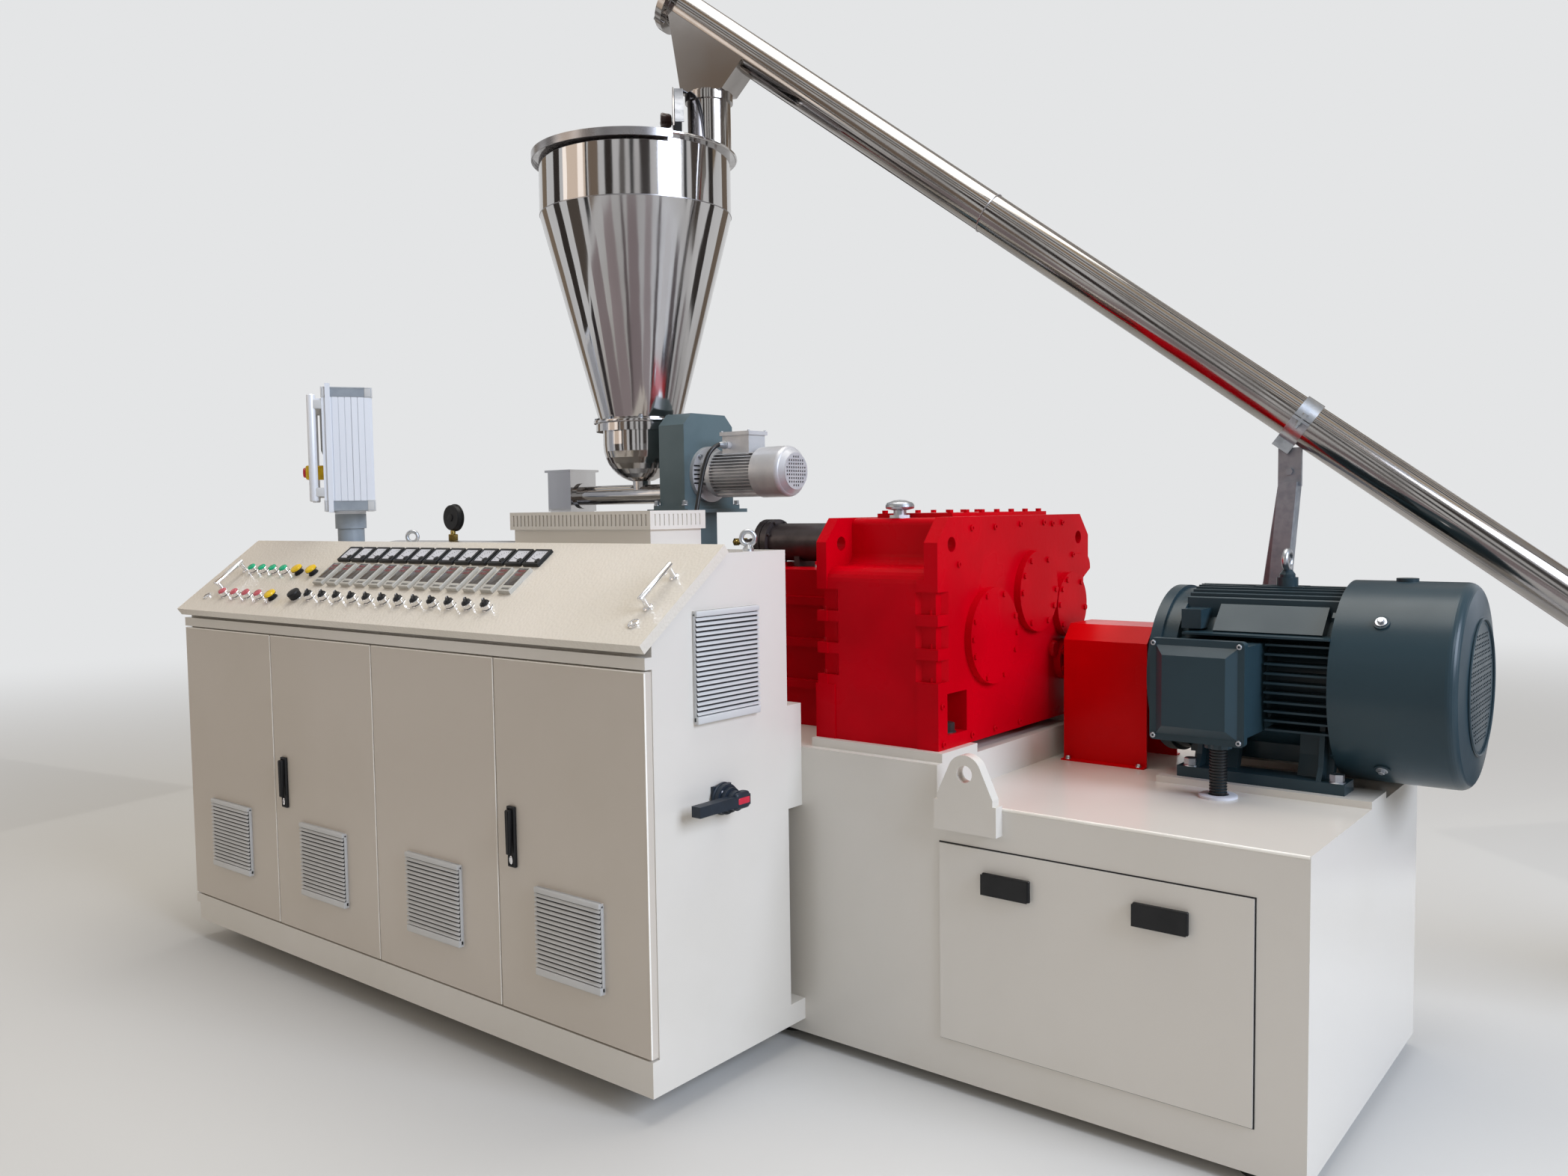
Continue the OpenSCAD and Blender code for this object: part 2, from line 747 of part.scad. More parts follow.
// Half-round cover over the heated barrel, on four feet
module barrel_cover() {
  x0 = die_x + 150;
  color(pale)
    place() {
      along_x([x0, x0 + cover_l])
        difference() {
          union() {
            translate([axis_y, screw_z])
              circle(r = cover_r, $fn = 72);
            translate([axis_y - cover_r, screw_z - 140])
              square([cover_r * 2, 140]);
          }
          translate([axis_y, screw_z])
            circle(r = cover_r - 3, $fn = 72);
          translate([axis_y - cover_r + 3, screw_z - 300])
            square([cover_r * 2 - 6, 300]);
        }
      for (y = [axis_y - cover_r, axis_y + cover_r - 20])
        for (x = [x0 + 70, x0 + cover_l - 100])
          block([x, x + 30], [y, y + 20], [deck_hi, screw_z - 138]);
    }
}

module pressure_gauge() {
  x = die_x + 514;
  z = screw_z + cover_r + seat;
  color(dark)
    place() {
      rod_z(x, axis_y, [z, z + 14], 16, 6);
      rod_z(x, axis_y, [z + 14 - eps, z + 70], 9, 24);
      rod_y(x, [axis_y - 18, axis_y + 18], z + 104, 36, 48);
      rod_y(x, [axis_y - 22, axis_y - 18 + eps], z + 104, 38, 48);
    }
}

// Feeder

module feed_unit() {
  bowl_z = feed_z + 167;
  color(steel)
    place() {
      difference() {
        block([feed_x - 55, feed_x + 55], [axis_y - 55, axis_y + 55], [screw_z + 60, feed_z - 53]);
        rod_x([feed_x - 60, feed_x + 60], axis_y, screw_z, 95 + seat, 64);
      }
      block([feed_x - 60, feed_x + 60], [axis_y - 60, axis_y + 60], [feed_z - 54, feed_z + 91]);
      block([feed_x - 68, feed_x + 68], [axis_y - 68, axis_y + 68], [feed_z + 85, feed_z + 93]);
      rod_x([feed_x + 59, hop_x + 187], axis_y, feed_z, 33);
      rod_x([hop_x + 177, hop_x + 197], axis_y, feed_z, 40);
      rod_x([feed_x + 60 - eps, feed_x + 72], axis_y, feed_z, 46);
      rod_z(hop_x, axis_y, [feed_z, feed_z + 50], 30);
      translate([hop_x, axis_y, 0])
        rotate_extrude($fn = 72)
          polygon(concat([[0, bowl_z - 127]], arc([0, bowl_z], 127, -80, 0, 8),
            [[127, collar_z - 25], [150, collar_z - 25], [150, collar_z], [0, collar_z]]));
    }
}

module hopper_shell() {
  cyl_z = hop_z - hop_cyl;
  color(steel)
    place()
      translate([hop_x, axis_y, 0])
        rotate_extrude($fn = 72)
          polygon([[144, collar_z], [144, collar_z + 12], [140, collar_z + 14], [hop_r, cyl_z],
            [hop_r, hop_z - 10], [338, hop_z - 10], [338, hop_z], [hop_r - wall, hop_z],
            [hop_r - wall, cyl_z + 0.4], [133, collar_z]]);
}

// Half-plane on the closed side of the lid joint, or on the open side
module lid_side(open) {
  rotate([0, 0, flap_az])
    translate([open ? chord : -600 + chord, -600])
      square([600, 1200]);
}

// Frame of the lid joint: X away from the hopper axis, hinge pin along Y
module on_hinge() {
  translate([hop_x, axis_y, hop_z + 8])
    rotate([0, 0, flap_az])
      translate([chord + 4, 0, 0])
        children();
}

module hopper_lid() {
  color(steel)
    place() {
      translate([hop_x, axis_y, hop_z]) {
        linear_extrude(3)
          intersection() {
            circle(r = 344, $fn = 72);
            lid_side(false);
          }
        translate([0, 0, -22])
          linear_extrude(22 + eps)
            intersection() {
              difference() {
                circle(r = 344, $fn = 72);
                circle(r = 341, $fn = 72);
              }
              lid_side(false);
            }
      }
      on_hinge() {
        rod_y(0, [-124, 124], 0, 2, 24);
        for (y = [-124, 60]) {
          rod_y(0, [y, y + 64], 0, 5, 32);
          block([-16, -3], [y, y + 64], [-5.1, -1]);
        }
      }
    }
}

module hopper_flap() {
  color(steel)
    place()
      on_hinge() {
        difference() {
          union() {
            rod_y(0, [-59, 59], 0, 5, 32);
            rotate([0, -90, 0])
              translate([0, 0, -1.5])
                linear_extrude(3)
                  intersection() {
                    translate([-chord - 4, 0])
                      circle(r = 341, $fn = 72);
                    union() {
                      translate([9, -600])
                        square([600, 1200]);
                      translate([0, -59])
                        square([10, 118]);
                    }
                  }
          }
          rod_y(0, [-60, 60], 0, 2 + seat, 24);
        }
        rotate([0, -90, 0])
          translate([110, 0, 1.5 - eps]) {
            cylinder(r = 6, h = 16, $fn = 24);
            translate([0, 0, 28])
              sphere(r = 15, $fn = 24);
          }
      }
}

// Feeder reducer on its pedestal over the barrel
module feeder_gearbox() {
  x = hop_x + 197;
  z = feed_z - 53;
  color(green_grey)
    place() {
      along_x([x, x + 110])
        polygon([[axis_y - 114, z + 10], [axis_y + 121, z + 10], [axis_y + 121, z + 270],
          [axis_y + 84, z + 307], [axis_y - 77, z + 307], [axis_y - 114, z + 270]]);
      block([x - 14, x + 124], [axis_y - 130, axis_y + 137], [z, z + 12]);
      for (dx = [-7, 117])
        for (y = [axis_y - 122, axis_y + 129])
          rod_z(x + dx, y, [z + 12 - eps, z + 24], 7, 6);
      block([x - 32, x + 148], [axis_y - 142, axis_y + 148], [z - 12, z + eps]);
      block([x + 8, x + 102], [axis_y - 47, axis_y + 47], [dist_top, z - 12 + eps]);
    }
}

module feeder_motor() {
  x = hop_x + 307;
  z = feed_z + 59;
  color(pale)
    place()
      translate([x, axis_y, z]) {
        rod_x([0, 14], 0, 0, 90, 64);
        for (a = [45:90:315])
          rotate([a, 0, 0])
            rod_x([13, 20], 0, 75, 7, 6);
        // lantern with its open slots
        difference() {
          rod_x([13, 49], 0, 0, 58, 64);
          for (i = [-2:2])
            block([18, 44], [-80, 80], [i * 16 - 4, i * 16 + 4]);
        }
        rod_x([13, 49], 0, 0, 38);
        rod_x([48, 68], 0, 0, 74, 64);
        rod_x([67, 239], 0, 0, 62, 64);
        along_x([67, 238])
          intersection() {
            circle(r = 76, $fn = 64);
            union() {
              for (i = [-6:6])
                translate([-80, i * 10 - 1.3])
                  square([160, 2.6]);
              for (i = [-3:3])
                translate([i * 10 - 1.3, -80])
                  square([2.6, 80]);
            }
          }
        rotate([0, 90, 0])
          translate([0, 0, 237])
            rotate_extrude($fn = 64)
              polygon(concat([[76, 0], [79, 0]], arc([61, 96], 18, 0, 60),
                [[56, 127], [56, 123]], arc([61, 96], 15, 60, 0)));
        translate([361, 0, 0])
          along_x([0, 3])
            grille(57, 11, 6);
        block([98, 208], [-40, 40], [56, 118]);
        block([92, 214], [-46, 46], [118 - eps, 130]);
        rod_y(126, [-58, -39], 88, 12, 24);
      }
}

// Loader

// Height inside the tube at a distance along its plan line
function chute_z(x) = tube_p[2] - x * tan(tube_el) - 30;

module loader_tube() {
  drop_z = hop_z + 196;
  color(steel)
    place() {
      on_tube() {
        rod_x([-130, throat_s + 90], 0, 0, tube_r, 64);
        rod_x([-142, -130 + eps], 0, 0, tube_r + 30, 64);
        rod_x([-156, -142 + eps], 0, 0, tube_r + 30, 64);
        for (i = [0:5])
          rod_x([-164, -122], (tube_r + 18) * cos(i * 60), (tube_r + 18) * sin(i * 60), 6, 16);
      }
      translate([tube_p[0], tube_p[1], 0]) {
        rotate([0, 0, tube_az])
          along_y([-60, 60])
            polygon([[-120, chute_z(-120)], [150, chute_z(150)], [75, drop_z],
              [-75, drop_z]]);
        rod_z(0, 0, [hop_z - 50, hop_z + 15], tube_r + 1.5);
        rod_z(0, 0, [hop_z + 14, drop_z + 6], tube_r + 10);
        rod_z(0, 0, [drop_z - 26, drop_z], tube_r + 18);
      }
    }
}

// Split clamp with two bolts and the ear that carries it on the post
module loader_clamp() {
  r = tube_r + seat;
  color(steel)
    place()
      on_tube() {
        difference() {
          union() {
            rod_x([clamp_s - 26, clamp_s + 26], 0, 0, r + 5);
            block([clamp_s - 26, clamp_s + 26], [-r - 28, r + 28], [-9, 9]);
            block([clamp_s - 26, clamp_s + 26], [-8, 8], [-r - 34, -r + 4]);
          }
          rod_x([clamp_s - 27, clamp_s + 27], 0, 0, r);
          block([clamp_s - 27, clamp_s + 27], [-r - 29, r + 29], [-1.5, 1.5]);
        }
        for (y = [-r - 17, r + 17]) {
          rod_z(clamp_s, y, [-30, 16], 5, 24);
          rod_z(clamp_s, y, [9 - eps, 17], 9, 6);
          rod_z(clamp_s, y, [-17, -9 + eps], 9, 6);
        }
      }
}

module leg(foot) {
  hull() {
    translate([post_top[0] - 25, post_top[1] - 25, post_top[2] - 60])
      cube([50, 50, 10]);
    translate([foot[0] - 25, foot[1] - 25, 0])
      cube([50, 50, 10]);
  }
  translate([foot[0] - 60, foot[1] - 60, 0])
    cube([120, 120, 8]);
}

module loader_post() {
  color(pale)
    place() {
      leg([post_top[0] - 118, post_top[1] - 20]);
      leg([post_top[0] - 284, post_top[1] + 260]);
      difference() {
        translate([post_top[0] - 32, post_top[1] - 6, post_top[2] - 62])
          cube([64, 12, 110]);
        on_tube() {
          block([clamp_s - 27, clamp_s + 27], [-8 - seat, 8 + seat],
            [-tube_r - 34 - 2 * seat, 0]);
          rod_x([clamp_s - 90, clamp_s + 90], 0, 0, tube_r + seat, 64);
        }
      }
      for (y = [-14, 6])
        rod_y(post_top[0], [post_top[1] + y, post_top[1] + y + 8], post_top[2] - 20, 11, 6);
    }
}

module pickup_hopper() {
  z = throat_z + 90;
  color(steel)
    place()
      translate([bin_p[0], bin_p[1], 0]) {
        difference() {
          rotate_extrude($fn = 72)
            polygon([[77, throat_z + 30], [80, throat_z + 30], [80, z], [bin_r, z + 330],
              [bin_r, z + 430], [bin_r + bin_rim, z + 430], [bin_r + bin_rim, z + 436],
              [bin_r - wall, z + 436], [bin_r - wall, z + 331], [77, z + 1.5]]);
          translate([0, 0, throat_z])
            rotate([0, 0, tube_az])
              rotate([0, tube_el, 0])
                rod_x([-300, 300], 0, 0, tube_r + seat, 64);
        }
        for (a = [50, 170, 290])
          rotate([0, 0, a]) {
            translate([bin_r - 2, -16, 0])
              cube([8, 32, z + 420]);
            translate([bin_r - 50, -40, 0])
              cube([60, 80, 8]);
          }
      }
}

module loader_motor() {
  color(green_grey)
    place()
      on_tube()
        translate([throat_s + 90, 0, 0]) {
          block([0, 110], [-tube_r - 2, tube_r + 2], [-60, 60]);
          rod_y(55, [-330, -tube_r - 2 + eps], 0, 62);
          rod_y(55, [-360, -320], 0, 68);
          block([15, 95], [-230, -150], [55, 90]);
        }
}

// Cabinet

module cab_side() {
  polygon([[body_y, body_z], [cab_d, body_z], [cab_d, cab_top], [slope_y, cab_top],
    [body_y, cab_top - (slope_y - body_y) * tan(lid_slope)]]);
}

module cabinet_body() {
  color(cream)
    place()
      difference() {
        union() {
          along_x([-cab_w, 0])
            cab_side();
          // folded strips above and below the doors
          block([-cab_w, 0], [0, body_y + eps], [door_top + door_gap, lid_z - lid_rim - 5]);
          block([-cab_w, 0], [0, body_y + eps], [body_z, door_z - door_gap]);
          side_louvre();
          // cable duct to the base
          block([-60, -2], [cab_d - eps, base_y], [body_z + 521, body_z + 792]);
        }
        // hollow
        along_x([-cab_w + sheet, -sheet])
          offset(delta = -sheet)
            cab_side();
        // door openings
        for (s = [0, 1])
          block([-cab_w + s * cab_w / 2 + 30, -cab_w / 2 + s * cab_w / 2 - 30],
            [body_y - 1, body_y + 8], [door_z + 20, door_top - 20]);
        // console opening
        on_lid()
          block([-cab_w + 30, -30], [30, lid_l - 36], [-60, 10]);
        // inside of the cable duct
        block([-57, -5], [cab_d - 5, base_y - sheet], [body_z + 524, body_z + 789]);
      }
}

// Slotted grille on a wall; x along the wall, z up, out of the face along -Y
module louvre(w, h, n) {
  slot = (h - 30) / n;
  difference() {
    block([0, w], [-8, 0.5], [0, h]);
    for (i = [0:n - 1])
      block([12, w - 12], [-9, -3], [15 + i * slot, 15 + (i + 0.55) * slot]);
  }
}

module side_louvre() {
  translate([0, 159, door_top - 141])
    rotate([0, 0, 90])
      louvre(230, side_louvre_h, 16);
}

module cabinet_plinth() {
  color(cream)
    place()
      difference() {
        union() {
          block([-cab_w + 21, 0], [0, cab_d], [plinth_z, body_z]);
          for (x = [-60, -cab_w / 2 - 30, -cab_w + 60])
            block([x, x + 60], [cab_d - eps, base_y], [plinth_z, body_z]);
        }
        block([-cab_w + 81, -cab_w / 2 - 30], [60, cab_d - 60], [plinth_z - 1, body_z + 1]);
        block([-cab_w / 2 + 30, -60], [60, cab_d - 60], [plinth_z - 1, body_z + 1]);
      }
}

module door(n) {
  color(cream)
    place()
      translate([-cab_w + (n - 1) * door_w, 0, 0]) {
        difference() {
          block([door_gap / 2, door_w - door_gap / 2], [0, door_t], [door_z, door_top]);
          block([door_gap / 2 + 2, door_w - door_gap / 2 - 2], [2, door_t + 1], [door_z + 2, door_top - 2]);
        }
        translate([(door_w - louvre_w) / 2, 0, door_z + 120])
          louvre(louvre_w, louvre_h, 14);
      }
}

module door_1() {
  door(1);
}

module door_2() {
  door(2);
}

module door_3() {
  door(3);
}

module door_4() {
  door(4);
}

// Flush swing handle: a plate with its folding grip in front
module swing_handle(n) {
  color(dark)
    place()
      translate([-cab_w + (n - 1) * door_w + 62, 0, door_z + 451]) {
        block([-15, 15], [-8, 0], [-78, 78]);
        block([-10, 10], [-pull_out, -20], [-70, 40]);
        block([-10, 10], [-pull_out, -7], [39, 70]);
        block([-8, 8], [-21, -7], [-70, -56]);
      }
}

module door_2_handle() {
  swing_handle(2);
}

module door_4_handle() {
  swing_handle(4);
}

// Console

function meter_x(i) = -cab_w + meter_x0 + i * meter_pitch;
function switch_x(i) = -cab_w + meter_x0 + 34 + i * (meter_pitch + 2.6);
// Rows on the lid, measured up the slope
meter_s = lid_l - 71;
gauge_s = lid_l - 168;
switch_s = 92;
// Groups of push buttons left of the meters
button_p = concat([for (i = [0:3]) [-cab_w + 204 + 66 * i, gauge_s + 6]],
  [for (i = [0:1]) [-cab_w + 482 + 84 * i, gauge_s + 6]],
  [for (i = [0:4]) [-cab_w + 198 + 74 * i, switch_s - 12]],
  [[-cab_w + 623, switch_s - 4]]);
shank_r = 10;

// Bar handle standing on two feet, from s0 to s1 up the slope
module pull_bar(x, s0, s1) {
  for (s = [s0, s1])
    translate([x, s, -eps]) {
      cylinder(r = 11, h = 4, $fn = 32);
      cylinder(r = 6, h = 34, $fn = 24);
    }
  translate([x, s0 - 10, 34])
    rotate([-90, 0, 0])
      cylinder(r = 7, h = s1 - s0 + 20, $fn = 24);
}

module console_lid() {
  color(cream)
    place() {
      on_lid() {
        difference() {
          block([-cab_w - lid_over, lid_over], [0, lid_l], [-lid_rim, 0]);
          block([-cab_w - lid_over + 2, lid_over - 2], [2, lid_l - 2], [-lid_rim - 1, -2]);
          // cut-outs for what is mounted in the lid
          for (i = [0:meter_n - 1]) {
            translate([meter_x(i), meter_s, 0])
              block([-27 - seat, 27 + seat], [-27 - seat, 27 + seat], [-5, 1]);
            translate([meter_x(i), gauge_s, 0])
              block([-21 - seat, 21 + seat], [-44 - seat, 44 + seat], [-5, 1]);
          }
          for (i = [0:meter_n - 2])
            translate([switch_x(i), switch_s, -5])
              cylinder(r = shank_r + seat, h = 6, $fn = 24);
          for (p = button_p)
            translate([p[0], p[1], -5])
              cylinder(r = shank_r + seat, h = 6, $fn = 24);
        }
        pull_bar(-cab_w + pull_x, 104, 204);
        pull_bar(-63, 126, 238);
        for (x = [-cab_w + 97, -65])
          translate([x, 69, -20])
            cylinder(r = 14, h = 24, $fn = 32);
      }
      // hinge knuckle
      for (x = [-cab_w + 150, -cab_w / 2 - 60, -270])
        difference() {
          union() {
            rod_x([x, x + 120], hinge_y, hinge_z, 5, 32);
            on_lid()
              block([x + 1, x + 119], [lid_l - 1.5, lid_l + 7.3], [-18, -15]);
          }
          rod_x([x - 1, x + 121], hinge_y, hinge_z, 3, 24);
        }
    }
}

module console_meters() {
  color(dark)
    place()
      on_lid()
        for (i = [0:meter_n - 1])
          translate([meter_x(i), meter_s, 0]) {
            block([-32, 32], [-32, 32], [0, 7]);
            block([-27, 27], [-27, 27], [-42, eps]);
          }
}

module console_controllers() {
  color([0.35, 0.36, 0.37])
    place()
      on_lid()
        for (i = [0:meter_n - 1])
          translate([meter_x(i), gauge_s, 0]) {
            block([-24, 24], [-48, 48], [0, 8]);
            block([-21, 21], [-44, 44], [-60, eps]);
          }
}

// Push button or selector with its threaded shank through the lid
module knob(x, y, r) {
  translate([x, y, -32])
    cylinder(r = shank_r, h = 33, $fn = 24);
  translate([x, y, 0])
    cylinder(r = 15, h = 5, $fn = 32);
  translate([x, y, 4.9])
    cylinder(r = r, h = 14, $fn = 24);
}

module console_switches() {
  color(dark)
    place()
      on_lid() {
        for (p = button_p)
          knob(p[0], p[1], p == button_p[len(button_p) - 1] ? 19 : 11);
        for (i = [0:meter_n - 2]) {
          knob(switch_x(i), switch_s, 10);
          translate([switch_x(i), switch_s, 18.8])
            rotate([0, 0, 45])
              block([-4, 4], [-13, 13], [0, 8]);
        }
      }
}

module vent_hood() {
  x0 = -hood_x - hood_w;
  y0 = slope_y + 15;
  y1 = cab_d - 3;
  color(cream)
    place() {
      block([x0 + 9, -hood_x - 9], [y0 + 9, y1 - 9], [cab_top, cab_top + 57]);
      difference() {
        block([x0, -hood_x], [y0, y1], [cab_top + 56, cab_top + 105]);
        for (i = [0:floor((hood_w - 24) / 16)])
          block([x0 + 13 + i * 16, x0 + 19 + i * 16], [y0 - 1, y0 + 4],
            [cab_top + 66, cab_top + 96]);
        for (i = [0:floor((y1 - y0 - 30) / 17)])
          block([-hood_x - 3, -hood_x + 1], [y0 + 14 + i * 17, y0 + 20 + i * 17],
            [cab_top + 66, cab_top + 96]);
      }
      for (x = [-38, -cab_w + 703])
        translate([x, (y0 + y1) / 2 + 7, cab_top])
          rotate([0, 0, 40])
            eye_bolt(17, 5.5);
    }
}

module switch_base() {
  color(dark)
    place() {
      block([0, 8], [214, 280], [isolator_z - 33, isolator_z + 33]);
      rod_x([8 - eps, 26], 247, isolator_z, 37);
    }
}

module switch_handle() {
  color(dark)
    place() {
      rod_x([26 + seat, 40], 247, isolator_z, 30);
      block([39, 66], [104, 284], [isolator_z - 13, isolator_z + 13]);
      rod_x([39, 58], 247, isolator_z, 24);
    }
}

module screen_pedestal() {
  color(green_grey)
    place() {
      rod_z(screen_x, screen_y, [cab_top, cab_top + 10], 66);
      rod_z(screen_x, screen_y, [cab_top + 9, cab_top + 70], 44);
      rod_z(screen_x, screen_y, [cab_top + 60, cab_top + 110], 51);
    }
}

// Profile enclosure on its pedestal, turned towards the operator
module screen_box() {
  z0 = cab_top + 120;
  color(pale)
    place()
      translate([screen_x, screen_y, 0])
        rotate([0, 0, -32]) {
          rod_z(0, 0, [cab_top + 110 + seat, z0 + 1], 51);
          difference() {
            block([-150, 150], [-80, 80], [z0, z0 + 410]);
            for (s = [-1, 1])
              for (i = [-3:2])
                block([s * 150 - 2, s * 150 + 2], [12 + i * 23 - 1.5, 12 + i * 23 + 1.5],
                  [z0 + 34, z0 + 374]);
            block([-126, 126], [-81, -76], [z0 + 24, z0 + 386]);
          }
          block([-158, 158], [-68, -52], [z0 - 4, z0 + 422]);
          for (x = [-136, 136]) {
            for (z = [z0 + 50, z0 + 350])
              block([x - 8, x + 8], [-104, -79], [z, z + 22]);
            translate([x, -112, z0 + 34])
              cylinder(r = 11, h = 350, $fn = 24);
          }
          rod_y(60, [-98, -75], z0 + 130, 20, 32);
          rod_y(60, [-108, -97], z0 + 130, 15, 32);
        }
}

base_frame();
base_feet();
access_panel();
lifting_lugs();
gearbox_housing();
gearbox_covers();
breather();
distribution_box();
oil_cooler();
coupling_guard();
shaft_coupling();
motor_frame();
terminal_box();
motor_cowl();
barrel();
barrel_cover();
pressure_gauge();
feed_unit();
hopper_shell();
hopper_lid();
hopper_flap();
feeder_gearbox();
feeder_motor();
loader_tube();
loader_clamp();
loader_post();
pickup_hopper();
loader_motor();
cabinet_body();
cabinet_plinth();
door_1();
door_2();
door_3();
door_4();
door_2_handle();
door_4_handle();
console_lid();
console_meters();
console_controllers();
console_switches();
vent_hood();
switch_base();
switch_handle();
screen_pedestal();
screen_box();
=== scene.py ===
"""Conical twin-screw extruder: finishes, small parts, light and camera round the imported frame."""

import logging
import math
from dataclasses import dataclass
from enum import Enum
from typing import Any, Callable, Iterable, Sequence

import bpy
from mathutils import Matrix, Vector


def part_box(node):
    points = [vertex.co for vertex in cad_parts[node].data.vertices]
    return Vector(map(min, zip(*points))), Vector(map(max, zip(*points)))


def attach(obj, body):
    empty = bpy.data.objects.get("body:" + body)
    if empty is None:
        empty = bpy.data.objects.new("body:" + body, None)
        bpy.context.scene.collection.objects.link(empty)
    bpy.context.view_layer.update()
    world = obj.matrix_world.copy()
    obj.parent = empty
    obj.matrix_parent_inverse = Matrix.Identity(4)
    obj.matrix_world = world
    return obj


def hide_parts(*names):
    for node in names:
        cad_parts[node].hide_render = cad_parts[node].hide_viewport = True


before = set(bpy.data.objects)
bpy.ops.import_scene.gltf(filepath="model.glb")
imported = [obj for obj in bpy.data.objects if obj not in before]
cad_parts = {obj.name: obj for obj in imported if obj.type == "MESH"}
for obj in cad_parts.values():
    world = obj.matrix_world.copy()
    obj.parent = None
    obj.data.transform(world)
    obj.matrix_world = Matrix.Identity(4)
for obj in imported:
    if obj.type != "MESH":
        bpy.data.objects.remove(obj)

log = logging.getLogger("extruder")
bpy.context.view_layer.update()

Object = bpy.types.Object
NodeTree = bpy.types.NodeTree
Socket = bpy.types.NodeSocket
Point = tuple[float, float, float]
Profile = Sequence[tuple[float, float]]
FaceTest = Callable[[Vector, Vector], bool]

# Sizes are in millimetres from the right end of the cabinet doors at floor
# level, as in the part's source. The row frame is in metres about the middle.
MM = 0.001
CAB_W = 2168.0
BASE_Y = 573.0
AXIS_Y = 1042.0
HOPPER_X = -1045.0
FLAP_CHORD = 134.0
# Angles between faces from which an edge is rounded, and shaded as an edge.
BEVEL_ANGLE = math.radians(35)
SMOOTH_ANGLE = math.radians(34)
# Cosine to a direction above which a face counts as facing that way.
SAME_WAY = 0.9


def shift(x: float = 0.0, y: float = 0.0, z: float = 0.0) -> Matrix:
    """Gives a move."""
    return Matrix.Translation((x, y, z))


def turn(degrees: float, axis: str = "Z") -> Matrix:
    """Gives a turn about an axis."""
    return Matrix.Rotation(math.radians(degrees), 4, axis)


ROW = Matrix.Scale(MM, 4) @ shift(-140.06269, -1234.44192)
LID = ROW @ shift(0.0, -22.0, 1122.0) @ turn(36.8, "X")
TUBE = ROW @ shift(-838.0, 1188.0, 3033.0) @ turn(16.63) @ turn(36.83, "Y")
SCREEN = ROW @ shift(-CAB_W + 306.0, 440.0) @ turn(-32.0)
FLAP = ROW @ shift(HOPPER_X, AXIS_Y, 2618.0) @ turn(43.8) @ shift(FLAP_CHORD)


class Facing(Enum):
    """The way that a part built along +Z points once it is placed."""

    UP = Matrix.Identity(4)
    FRONT = turn(90, "X")
    BACK = turn(-90, "X")
    RIGHT = turn(90, "Y")
    LEFT = turn(-90, "Y")


class Body(Enum):
    """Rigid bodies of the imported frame."""

    MACHINE = "machine"
    CONSOLE = "console"
    DOOR_1 = "door_1"
    DOOR_2 = "door_2"
    DOOR_3 = "door_3"
    DOOR_4 = "door_4"
    FLAP = "flap"
    GRIP = "isolator_grip"
    SCREEN = "screen"


def spot(x: float, y: float, z: float, facing: Facing = Facing.UP) -> Matrix:
    """Gives the place of a part whose own +Z points the way of facing."""
    return shift(x, y, z) @ facing.value


def ring(radius: float, angles: Iterable[float], centre: Point, facing: Facing) -> list[Matrix]:
    """Gives places on a circle.

    Args:
        radius: Radius of the circle.
        angles: Angles in degrees.
        centre: Centre of the circle.
        facing: Axis of the circle.

    Returns:
        One matrix for each angle.
    """
    hub = spot(*centre, facing)
    turns = [math.radians(angle) for angle in angles]
    return [hub @ shift(radius * math.cos(a), radius * math.sin(a)) for a in turns]


def faces(facing: Facing, beyond: float = -math.inf) -> FaceTest:
    """Gives the test for faces that point one way.

    Args:
        facing: The way.
        beyond: Distance along it that the face's centre has to pass.

    Returns:
        The test, which takes a face's centre and normal.
    """
    way = facing.value.col[2].xyz
    return lambda centre, normal: normal.dot(way) > SAME_WAY and centre.dot(way) > beyond


def ends(_centre: Vector, normal: Vector) -> bool:
    """Tells whether a face is at either end of a piece about +Z."""
    return abs(normal.z) > SAME_WAY


